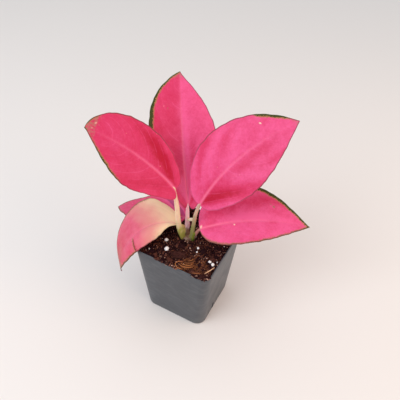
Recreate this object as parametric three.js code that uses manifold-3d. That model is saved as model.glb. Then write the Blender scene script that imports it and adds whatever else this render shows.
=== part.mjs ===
// Potted Chinese evergreen: six pink leaf blades on one crown, in a square nursery pot filled with soil.
// Millimetres, +Z up. The origin is the middle of the pot's base, and the pot's walls face X and Y.
import * as THREE from 'three';
import { mergeVertices } from 'three/addons/utils/BufferGeometryUtils.js';
import Module from 'manifold-3d';

const wasm = await Module();
wasm.setup();

// ---- driving dimensions ----

const GAP = 0.3;                  // left between pieces that touch
const ROUND_SIDES = 16;           // of the round holes and the crown
const OVERCUT = 1;                // how far a cutter stands past the face that it cuts
const CUT_THROUGH = 12;           // length of a cutter that goes right through the pot's wall or floor
const MERGE = 1e-4;               // points closer than this are one

const POT = {
  height: 97.5,
  topSide: 88.5,
  baseSide: 74,
  topCorner: 9.3,                 // corner radius at the rim
  baseCorner: 11.3,
  wall: 1.2,
  floor: 2,
  bottomEdge: 1.5,                // small bevel all round under the walls
  cornerSteps: 6,
  wallSteps: 7,
};
const DRAIN = { diameter: 9, offset: 22 };
const SLOT = { width: 3, height: 10, bottom: 4, offset: 9 };

const SOIL = {
  edgeHeight: 93,                 // level of the soil at the pot's wall
  mound: 3,                       // how far it rises towards the crown
  moundWidth: 26,
  rings: 13,
  crumb: 1.5,                     // relief of the crumbs, made by a few waves that cross
  crumbWaves: 5,
  crumbLength: 16,
  crumbTurn: 2.4,                 // radians from one wave's way to the next one's
};

// the oval foot that all the stalks grow from; its shares are of its full width
const CROWN = {
  x: -2.2,
  y: 0.9,
  wide: 9.8,
  deep: 6.4,
  turn: 26,
  bottom: 76,
  top: 99.5,
  footShare: 0.7,
  footTaper: 4,
  topShare: 0.75,
  topTaper: 5.5,
  rounding: 1,
};

const BLADE = {
  thickness: 1,
  margin: 0.6,                    // thickness at the edge
  rib: 1.3,                       // how far the midrib stands out below
  stalkWidth: 1.6,                // half width where the blade meets its stalk
  tipWidth: 0.5,
  lobePlace: 0.07,                // where the base lobes hang back furthest, as a share of the length
  lengthSteps: 22,
  halfSteps: 5,
  endSpread: 0.6,                 // above 0, the rows stand closer at the base and the tip
  columnSpread: 1.3,              // above 1, the columns stand closer at the midrib
  ribSteps: 48,
  curlFade: 4,                    // the higher, the nearer to the tip the curl fades out
  flatCurl: 1e-4,                 // the curl, in radians, of a half that stays flat
  waveRise: 1.5,                  // how soon the edge's waves reach their full height
  waveShift: 0.25,                // share of a wave by which each edge is out of step
};

// A blade starts at base and follows its midrib. heading is the compass turn from +X towards +Y, rise the
// climb at the base, and both change by turn and droop over the length. roll and twist tip the blade about
// its midrib, right edge up. fold lifts both halves from the midrib. Pairs are for the left and right half,
// seen from the base: half is the widest half width and widest its place along the blade, point shapes the
// tip, and curl is how far the half has turned up at its edge. lobe is how far the base hangs back, and a
// small sinus closes the notch over the stalk.
const LEAVES = {
  leaf_back: {
    base: [-7.7, 7.5, 136], length: 141.5, half: [36, 36.5], widest: [0.55, 0.48], point: [0.9, 1.15],
    heading: 130.5, turn: -10, rise: 56, droop: -22, bend: 1, roll: -12, twist: -1, fold: 8, curl: [0, 0],
    lobe: [9, 12], sinus: 1.5, wave: 1, waves: 2.2, phase: 0.1,
  },
  leaf_left: {
    base: [-15, -7.5, 166.5], length: 102.5, half: [31.5, 29], widest: [0.47, 0.55], point: [1.1, 0.57],
    heading: 195.5, turn: 17.5, rise: 50.5, droop: -23, bend: 1, roll: 39, twist: -1, fold: 8, curl: [0, 0],
    lobe: [13, 5], sinus: 0.5, wave: 0.8, waves: 2, phase: 0.3,
  },
  leaf_right: {
    base: [8, 2.5, 148], length: 127.5, half: [35.5, 34.5], widest: [0.45, 0.45], point: [1, 0.98],
    heading: 47.5, turn: -12, rise: 64, droop: -39, bend: 1, roll: -41, twist: 0.5, fold: 8, curl: [0, 0],
    lobe: [3, 6], sinus: 1.5, wave: 0.8, waves: 2.4, phase: 0.6,
  },
  leaf_low_right: {
    base: [11.5, -1, 117.5], length: 116, half: [41, 26.5], widest: [0.36, 0.36], point: [1.17, 0.93],
    heading: 33.5, turn: -9.5, rise: 19.5, droop: -33.5, bend: 1, roll: -22.5, twist: 2.5, fold: 9.5,
    curl: [0, 0], lobe: [1.5, 1.5], sinus: 1.5, wave: 0.8, waves: 2, phase: 0.2,
  },
  leaf_drooping: {
    base: [-11, -2, 113.5], length: 110, half: [17.5, 36], widest: [0.45, 0.32], point: [1, 0.88],
    heading: 217, turn: 26, rise: 37, droop: -138, bend: 0.83, roll: 18, twist: -40, fold: 6,
    curl: [-71, -12], lobe: [-9, -9], sinus: 1.5, wave: 0.4, waves: 2, phase: 0.5,
  },
  leaf_low_back: {
    base: [-13, 11.5, 110.5], length: 97.5, half: [24.5, 23.5], widest: [0.41, 0.41], point: [0.89, 0.89],
    heading: 179.5, turn: 0, rise: -1, droop: -31, bend: 1, roll: 0, twist: 0, fold: 5, curl: [-8, -8],
    lobe: [3, 3], sinus: 1.5, wave: 0.8, waves: 2.3, phase: 0.8,
  },
};

// A stalk runs from inside the crown through the via points to its blade, and meets the midrib from below
// at the angle dip. radii are taken in equal steps from its foot to its top.
const STALKS = {
  leaf_back: {
    from: [-4.5, 2.5, 95], via: [[-6.2, 3.4, 102], [-6.8, 5.2, 116]], dip: 15,
    radii: [2.6, 2.5, 2.4, 2.1, 1.9],
  },
  leaf_left: {
    from: [-7.7, -2.7, 95], via: [[-8.3, -5.1, 105], [-9.8, -8.1, 119], [-12, -8, 145]], dip: 55,
    radii: [2.4, 3.2, 2.7, 2.6, 2.5, 1.8],
  },
  leaf_right: {
    from: [0.7, 0.7, 95], via: [[2.3, 0, 103], [3.2, 0.1, 116], [5, 0.5, 134]], dip: 15,
    radii: [2.6, 2.3, 2, 1.9],
  },
  leaf_low_right: {
    from: [2.5, 1.2, 95], via: [[5, 0, 102]], dip: 50, radii: [2.4, 2, 1.7],
  },
  leaf_drooping: { from: [-7.5, -0.6, 95], via: [[-8.2, -2, 102]], dip: 15, radii: [2.4, 3, 2.2] },
  leaf_low_back: { from: [-4, 3.5, 95], via: [[-6.5, 5.5, 101]], dip: 50, radii: [2.2, 2, 1.7] },
};
const STALK_SIDES = 8;
const STALK_STEPS = 12;
const STALK_LEAD = 6;             // length of the stalk's last stretch, at the angle dip
const STALK_GAP = 0.5;            // from the stalk's end to the blade
const SHEATH_STEPS = 2;

// short sheath tips that stand against the stalks: foot, tip, and their radii
const SHEATHS = [
  { from: [2.7, 0, 95], to: [6, -2, 109], radii: [2.4, 1.2] },
  { from: [-5.5, 5, 118], to: [2.8, 0.3, 126], radii: [1.7, 1.7] },
];

// loose grains in the soil: place and diameter
const PERLITE = [
  [-21.5, -14.5, 4.4],
  [-14.5, -24.5, 5.6],
  [-31.5, -33, 2.2],
  [-27, -35, 1.8],
  [14, -8, 3.2],
  [15.5, -13, 2.2],
  [33, -18, 4.2],
  [37.5, -20, 4],
  [39.5, -13, 1.8],
  [36.5, 9.5, 1.8],
];
const GRAIN = {
  above: 0.25,                    // share of its diameter that a grain's middle lies above the soil
  least: 0.82,                    // its corners lie between these shares of its radius
  most: 1.08,
  coarse: 3,                      // grains wider than this have more facets
};
const BARK = {
  x: 1.5, y: -25, length: 11, width: 9, thickness: 5, turn: 35, least: 0.85, most: 1.05, seed: 77,
};

// ---- helpers ----

const AXIS_Z = new THREE.Vector3(0, 0, 1);
const radians = THREE.MathUtils.degToRad;
const mix = THREE.MathUtils.lerp;

function geometryFrom(points, faces) {
  const geometry = new THREE.BufferGeometry();
  geometry.setAttribute('position', new THREE.Float32BufferAttribute(points.flatMap((p) => p.toArray()), 3));
  geometry.setIndex(faces.flat());
  return geometry;
}

// rings of equal length, each running anticlockwise about the way they follow each other
function loft(rings) {
  const count = rings[0].length;
  const points = rings.flat();
  const faces = [];
  for (let r = 0; r < rings.length - 1; r++) {
    for (let i = 0; i < count; i++) {
      const a = r * count + i;
      const b = r * count + (i + 1) % count;
      faces.push([a, b, b + count], [a, b + count, a + count]);
    }
  }
  for (const end of [0, rings.length - 1]) {
    const middle = new THREE.Vector3();
    rings[end].forEach((p) => middle.addScaledVector(p, 1 / count));
    points.push(middle);
    for (let i = 0; i < count; i++) {
      const a = end * count + i;
      const b = end * count + (i + 1) % count;
      faces.push(end ? [points.length - 1, a, b] : [points.length - 1, b, a]);
    }
  }
  return geometryFrom(points, faces);
}

// a sheet with a top and a bottom grid of the same size, split alike, and closed round its edge
function closedSheet(top, bottom) {
  const rows = top.length;
  const columns = top[0].length;
  const points = [...top.flat(), ...bottom.flat()];
  const upper = (i, j) => i * columns + j;
  const lower = (i, j) => rows * columns + i * columns + j;
  const faces = [];
  const wall = (a, b, c, d) => faces.push([a, b, c], [a, c, d]);
  for (let i = 0; i < rows - 1; i++) {
    for (let j = 0; j < columns - 1; j++) {
      wall(upper(i, j), upper(i, j + 1), upper(i + 1, j + 1), upper(i + 1, j));
      faces.push([lower(i, j), lower(i + 1, j + 1), lower(i, j + 1)]);
      faces.push([lower(i, j), lower(i + 1, j), lower(i + 1, j + 1)]);
    }
    wall(upper(i, 0), upper(i + 1, 0), lower(i + 1, 0), lower(i, 0));
    wall(upper(i + 1, columns - 1), upper(i, columns - 1), lower(i, columns - 1), lower(i + 1, columns - 1));
  }
  for (let j = 0; j < columns - 1; j++) {
    wall(lower(0, j), lower(0, j + 1), upper(0, j + 1), upper(0, j));
    wall(lower(rows - 1, j + 1), lower(rows - 1, j), upper(rows - 1, j), upper(rows - 1, j + 1));
  }
  return geometryFrom(points, faces);
}

function toSolid(geometry) {
  const bare = geometry.clone();
  bare.deleteAttribute('normal');
  bare.deleteAttribute('uv');
  const merged = mergeVertices(bare, MERGE);
  return new wasm.Manifold(new wasm.Mesh({
    numProp: 3,
    vertProperties: merged.attributes.position.array,
    triVerts: new Uint32Array(merged.index.array),
  }));
}

function fromSolid(solid) {
  const mesh = solid.getMesh();
  const geometry = new THREE.BufferGeometry();
  geometry.setAttribute('position', new THREE.BufferAttribute(mesh.vertProperties, 3));
  geometry.setIndex(new THREE.BufferAttribute(mesh.triVerts, 1));
  return geometry;
}

// a faceted ball of radius 1 whose facets share their corners
function ball(detail) {
  const sphere = new THREE.IcosahedronGeometry(1, detail);
  sphere.deleteAttribute('normal');
  sphere.deleteAttribute('uv');
  return mergeVertices(sphere, MERGE);
}

// random numbers from 0 to 1, the same ones for the same seed
function seededRandom(seed) {
  const factor = 1664525;
  const step = 1013904223;
  const range = 2 ** 32;
  let state = seed;
  return () => {
    state = (state * factor + step) % range;
    return state / range;
  };
}

// ---- pot ----

const sideAt = (z) => mix(POT.baseSide, POT.topSide, z / POT.height);
const cornerAt = (z) => mix(POT.baseCorner, POT.topCorner, z / POT.height);

// the pot's section at height z, drawn in from its outside, with straight walls in equal steps
function potSection(z, inset) {
  const half = sideAt(z) / 2 - inset;
  const radius = cornerAt(z) - inset;
  const ring = [];
  for (let corner = 0; corner < 4; corner++) {
    const start = corner * Math.PI / 2;
    const middle = new THREE.Vector3(half - radius, half - radius, z).applyAxisAngle(AXIS_Z, start);
    for (let i = 0; i <= POT.cornerSteps; i++) {
      const angle = start + i / POT.cornerSteps * Math.PI / 2;
      ring.push(new THREE.Vector3(Math.cos(angle), Math.sin(angle), 0).multiplyScalar(radius).add(middle));
    }
    const from = ring.at(-1);
    const to = new THREE.Vector3(-(half - radius), half, z).applyAxisAngle(AXIS_Z, start);
    for (let i = 1; i < POT.wallSteps; i++) ring.push(from.clone().lerp(to, i / POT.wallSteps));
  }
  return ring;
}

function makePot() {
  const bevel = POT.bottomEdge;
  const outside = loft([potSection(0, bevel), potSection(bevel, 0), potSection(POT.height, 0)]);
  const inside = loft([potSection(POT.floor, POT.wall), potSection(POT.height + OVERCUT, POT.wall)]);
  let pot = toSolid(outside).subtract(toSolid(inside));
  for (const x of [-DRAIN.offset, DRAIN.offset]) {
    for (const y of [-DRAIN.offset, DRAIN.offset]) {
      const hole = new THREE.CylinderGeometry(DRAIN.diameter / 2, DRAIN.diameter / 2, CUT_THROUGH, ROUND_SIDES);
      hole.rotateX(Math.PI / 2).translate(x, y, 0);
      pot = pot.subtract(toSolid(hole));
    }
  }
  for (const side of [-1, 1]) {
    const slot = new THREE.BoxGeometry(CUT_THROUGH, SLOT.width, SLOT.height);
    slot.translate(side * POT.baseSide / 2, -side * SLOT.offset, SLOT.bottom + SLOT.height / 2);
    pot = pot.subtract(toSolid(slot));
  }
  return fromSolid(pot);
}

// ---- soil, perlite and bark ----

// waves that cross one another, each a little shorter than the one before; the sum lies between -1 and 1
function crumbs(x, y) {
  let sum = 0;
  for (let wave = 0; wave < SOIL.crumbWaves; wave++) {
    const way = wave * SOIL.crumbTurn;
    const length = SOIL.crumbLength * (1 - wave / (2 * SOIL.crumbWaves));
    sum += Math.sin(2 * Math.PI * (x * Math.cos(way) + y * Math.sin(way)) / length + wave);
  }
  return sum / SOIL.crumbWaves;
}

function soilHeight(x, y) {
  const reach = Math.hypot(x - CROWN.x, y - CROWN.y) / SOIL.moundWidth;
  return SOIL.edgeHeight + SOIL.mound * Math.exp(-reach * reach) + SOIL.crumb * crumbs(x, y);
}

// a rough grain, grown all round by grow to cut its bed in the soil
function grain(x, y, diameter, seed, grow) {
  const random = seededRandom(seed);
  const stone = ball(diameter > GRAIN.coarse ? 1 : 0);
  const position = stone.attributes.position;
  for (let i = 0; i < position.count; i++) {
    const p = new THREE.Vector3().fromBufferAttribute(position, i);
    p.multiplyScalar(diameter / 2 * mix(GRAIN.least, GRAIN.most, random()) + grow);
    position.setXYZ(i, p.x, p.y, p.z);
  }
  return stone.rotateZ(2 * Math.PI * random()).translate(x, y, soilHeight(x, y) + GRAIN.above * diameter);
}

function barkChip(grow) {
  const random = seededRandom(BARK.seed);
  const chip = ball(1);
  const position = chip.attributes.position;
  const half = new THREE.Vector3(BARK.length, BARK.width, BARK.thickness).divideScalar(2).addScalar(grow);
  for (let i = 0; i < position.count; i++) {
    const p = new THREE.Vector3().fromBufferAttribute(position, i).multiply(half);
    p.multiplyScalar(mix(BARK.least, BARK.most, random()));
    position.setXYZ(i, p.x, p.y, p.z);
  }
  return chip.rotateZ(radians(BARK.turn)).translate(BARK.x, BARK.y, soilHeight(BARK.x, BARK.y));
}

// stretches a round form of radius 1 to the crown's oval and sets it in its place
function ovalAtCrown(geometry, grow) {
  geometry.scale(CROWN.wide + grow, CROWN.deep + grow, 1);
  return geometry.rotateZ(radians(CROWN.turn)).translate(CROWN.x, CROWN.y, 0);
}

function makeSoil() {
  const inset = POT.wall + GAP;
  const bottom = potSection(POT.floor + GAP, inset);
  const brim = potSection(POT.height, inset).map((p, i) => {
    const z = soilHeight(p.x, p.y);
    return p.clone().lerp(bottom[i], (POT.height - z) / (POT.height - POT.floor - GAP)).setZ(z);
  });
  const rings = [bottom, brim];
  for (let k = SOIL.rings - 1; k > 0; k--) {
    rings.push(brim.map((p) => {
      const x = p.x * k / SOIL.rings;
      const y = p.y * k / SOIL.rings;
      return new THREE.Vector3(x, y, soilHeight(x, y));
    }));
  }
  let soil = toSolid(loft(rings));
  const holeBottom = CROWN.bottom - GAP;
  const depth = POT.height + OVERCUT - holeBottom;
  const hole = new THREE.CylinderGeometry(1, 1, depth, ROUND_SIDES);
  hole.rotateX(Math.PI / 2).translate(0, 0, holeBottom + depth / 2);
  soil = soil.subtract(toSolid(ovalAtCrown(hole, GAP)));
  PERLITE.forEach(([x, y, diameter], i) => {
    soil = soil.subtract(toSolid(grain(x, y, diameter, i + 1, GAP)));
  });
  return fromSolid(soil.subtract(toSolid(barkChip(GAP))));
}

// ---- leaf blades ----

// outline of one half of a blade: its width at share u of the length, as a share of its widest
function outline(leaf, half, u) {
  const widest = leaf.widest[half];
  const point = leaf.point[half];
  const power = point * widest / (1 - widest);
  return (u / widest) ** power * ((1 - u) / (1 - widest)) ** point;
}

// the way along the midrib, to the right and up from the blade, at share u of its length
function bladeAxes(leaf, u) {
  const heading = radians(leaf.heading + leaf.turn * u);
  const climb = radians(leaf.rise + leaf.droop * u ** leaf.bend);
  const roll = radians(leaf.roll + leaf.twist * u);
  const along = new THREE.Vector3(Math.cos(heading) * Math.cos(climb), Math.sin(heading) * Math.cos(climb),
    Math.sin(climb));
  const level = new THREE.Vector3(Math.sin(heading), -Math.cos(heading), 0);
  const upright = level.clone().cross(along);
  const right = level.clone().multiplyScalar(Math.cos(roll)).addScaledVector(upright, Math.sin(roll));
  return { along, right, up: right.clone().cross(along) };
}

// points along the midrib in equal steps
function midrib(leaf) {
  const points = [new THREE.Vector3(...leaf.base)];
  for (let i = 0; i < BLADE.ribSteps; i++) {
    const { along } = bladeAxes(leaf, (i + 0.5) / BLADE.ribSteps);
    points.push(points[i].clone().addScaledVector(along, leaf.length / BLADE.ribSteps));
  }
  return points;
}

// the midrib's point at share u, or in line with its base below 0
function pointOn(leaf, ribPoints, u) {
  const place = Math.min(Math.max(u, 0), 1) * (ribPoints.length - 1);
  const i = Math.min(Math.floor(place), ribPoints.length - 2);
  const point = ribPoints[i].clone().lerp(ribPoints[i + 1], place - i);
  return u < 0 ? point.addScaledVector(bladeAxes(leaf, 0).along, u * leaf.length) : point;
}

// the blade's middle surface at share u along it and v across it, from -1 at the left edge to 1 at the right
function surfacePoint(leaf, ribPoints, u, v) {
  const across = Math.abs(v);
  const side = v < 0 ? -1 : 1;
  const half = v < 0 ? 0 : 1;
  const share = outline(leaf, half, u);
  const width = Math.hypot(leaf.half[half] * share, mix(BLADE.stalkWidth, BLADE.tipWidth, u));
  const lobeAt = u / BLADE.lobePlace;
  const back = leaf.lobe[half] * lobeAt * Math.exp(1 - lobeAt) * across ** leaf.sinus;
  const shift = u - back / leaf.length;
  const { right, up } = bladeAxes(leaf, Math.max(shift, 0));
  const fold = radians(leaf.fold);
  const curl = radians(leaf.curl[half]) * (1 - u ** BLADE.curlFade) || BLADE.flatCurl;
  const slope = fold + curl * across;
  const sideways = side * width * (Math.sin(slope) - Math.sin(fold)) / curl;
  const ripple = Math.sin(2 * Math.PI * (leaf.waves * u + leaf.phase + BLADE.waveShift * side));
  const lift = width * (Math.cos(fold) - Math.cos(slope)) / curl
    + leaf.wave * ripple * across ** 2 * Math.min(1, BLADE.waveRise * share);
  const point = pointOn(leaf, ribPoints, shift).addScaledVector(right, sideways).addScaledVector(up, lift);
  const normal = up.clone().multiplyScalar(Math.cos(slope)).addScaledVector(right, -side * Math.sin(slope));
  return { point, normal };
}

const halfThickness = (v) => mix(BLADE.thickness, BLADE.margin, Math.abs(v)) / 2;

function makeBlade(leaf) {
  const ribPoints = midrib(leaf);
  const columns = [];
  for (let j = -BLADE.halfSteps; j <= BLADE.halfSteps; j++) {
    columns.push(Math.sign(j) * Math.abs(j / BLADE.halfSteps) ** BLADE.columnSpread);
  }
  const top = [];
  const bottom = [];
  for (let i = 0; i <= BLADE.lengthSteps; i++) {
    const t = i / BLADE.lengthSteps;
    const u = t - BLADE.endSpread * Math.sin(2 * Math.PI * t) / (2 * Math.PI);
    const row = columns.map((v) => ({ v, ...surfacePoint(leaf, ribPoints, u, v) }));
    top.push(row.map(({ point, normal, v }) => point.clone().addScaledVector(normal, halfThickness(v))));
    bottom.push(row.map(({ point, normal, v }) => {
      const rib = v === 0 ? BLADE.rib * (1 - u) : 0;
      return point.clone().addScaledVector(normal, -halfThickness(v) - rib);
    }));
  }
  return closedSheet(top, bottom);
}

// ---- stem: the crown, its leaf stalks and sheaths ----

// a round bar along points, its radius running through the radii given
function bar(points, radii, steps) {
  const path = new THREE.CatmullRomCurve3(points);
  const girth = new THREE.CatmullRomCurve3(radii.map((radius, i) => new THREE.Vector3(i, radius, 0)));
  const frames = path.computeFrenetFrames(steps);
  const rings = [];
  for (let i = 0; i <= steps; i++) {
    const centre = path.getPointAt(i / steps);
    const radius = girth.getPoint(i / steps).y;
    const ring = [];
    for (let k = 0; k < STALK_SIDES; k++) {
      const angle = k / STALK_SIDES * 2 * Math.PI;
      ring.push(centre.clone()
        .addScaledVector(frames.normals[i], radius * Math.cos(angle))
        .addScaledVector(frames.binormals[i], radius * Math.sin(angle)));
    }
    rings.push(ring);
  }
  return toSolid(loft(rings));
}

function makeStem() {
  const profile = [
    [0, CROWN.bottom],
    [CROWN.footShare, CROWN.bottom],
    [1, CROWN.bottom + CROWN.footTaper],
    [1, CROWN.top - CROWN.topTaper],
    [CROWN.topShare, CROWN.top - CROWN.rounding],
    [0, CROWN.top],
  ];
  const crown = new THREE.LatheGeometry(profile.map(([r, z]) => new THREE.Vector2(r, z)), ROUND_SIDES);
  let stem = toSolid(ovalAtCrown(crown.rotateX(Math.PI / 2), 0));
  for (const [name, { from, via, dip, radii }] of Object.entries(STALKS)) {
    const leaf = LEAVES[name];
    const { along, up } = bladeAxes(leaf, 0);
    const end = new THREE.Vector3(...leaf.base)
      .addScaledVector(along, -STALK_GAP)
      .addScaledVector(up, -BLADE.rib);
    const before = end.clone()
      .addScaledVector(along, -STALK_LEAD * Math.cos(radians(dip)))
      .addScaledVector(up, -STALK_LEAD * Math.sin(radians(dip)));
    const path = [...[from, ...via].map((p) => new THREE.Vector3(...p)), before, end];
    stem = stem.add(bar(path, radii, STALK_STEPS));
  }
  for (const { from, to, radii } of SHEATHS) {
    stem = stem.add(bar([new THREE.Vector3(...from), new THREE.Vector3(...to)], radii, SHEATH_STEPS));
  }
  return fromSolid(stem);
}

// ---- the plant in its pot ----

const FINISH = {
  plastic: { color: '#5b5e61', roughness: 0.45, metalness: 0 },
  soil: { color: '#3a2019', roughness: 0.95, metalness: 0 },
  perlite: { color: '#efe9e6', roughness: 0.9, metalness: 0 },
  bark: { color: '#6a4433', roughness: 0.9, metalness: 0 },
  stalk: { color: '#d6c79c', roughness: 0.5, metalness: 0 },
  blade: { color: '#e8487a', roughness: 0.45, metalness: 0 },
  paleBlade: { color: '#e99a90', roughness: 0.5, metalness: 0 },
};

const plant = new THREE.Group();

function place(name, geometry, finish) {
  const mesh = new THREE.Mesh(geometry, new THREE.MeshStandardMaterial(FINISH[finish]));
  mesh.name = name;
  plant.add(mesh);
}

place('pot', makePot(), 'plastic');
place('soil', makeSoil(), 'soil');
place('stem', makeStem(), 'stalk');
for (const [name, leaf] of Object.entries(LEAVES)) {
  place(name, makeBlade(leaf), name === 'leaf_drooping' ? 'paleBlade' : 'blade');
}
PERLITE.forEach(([x, y, diameter], i) => {
  place(`perlite_${i + 1}`, grain(x, y, diameter, i + 1, 0), 'perlite');
});
place('bark_chip', barkChip(0), 'bark');

export default plant;
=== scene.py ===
"""Potted Chinese evergreen: the looks of the plant, its soil and its pot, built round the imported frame."""

import math
import random

import bmesh
import bpy
import numpy as np
from mathutils import Matrix, Vector, noise


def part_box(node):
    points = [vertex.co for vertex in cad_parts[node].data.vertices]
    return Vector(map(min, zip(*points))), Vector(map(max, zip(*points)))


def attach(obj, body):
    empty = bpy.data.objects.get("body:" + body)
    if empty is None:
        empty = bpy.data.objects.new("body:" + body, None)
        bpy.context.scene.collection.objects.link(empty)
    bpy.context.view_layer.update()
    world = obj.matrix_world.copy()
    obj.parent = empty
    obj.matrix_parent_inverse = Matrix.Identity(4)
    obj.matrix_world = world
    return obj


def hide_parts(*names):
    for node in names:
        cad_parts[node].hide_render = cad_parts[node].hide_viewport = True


bl_info = {
    "name": "Potted Chinese Evergreen",
    "version": (1, 0, 0),
    "blender": (4, 5, 0),
    "location": "3D View > Sidebar > Evergreen",
    "description": "Builds a pink-leaved Chinese evergreen in a square nursery pot, with its soil and stage",
    "category": "Add Mesh",
}

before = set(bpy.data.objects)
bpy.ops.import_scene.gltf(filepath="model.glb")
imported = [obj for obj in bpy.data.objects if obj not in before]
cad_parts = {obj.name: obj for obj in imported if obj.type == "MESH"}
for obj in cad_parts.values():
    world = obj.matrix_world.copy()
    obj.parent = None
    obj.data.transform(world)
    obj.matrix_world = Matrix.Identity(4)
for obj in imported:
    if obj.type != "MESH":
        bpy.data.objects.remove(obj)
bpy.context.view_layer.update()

MM = 0.001
BODY = "root"

# ---- the plant's form, in millimetres and degrees ----

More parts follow.
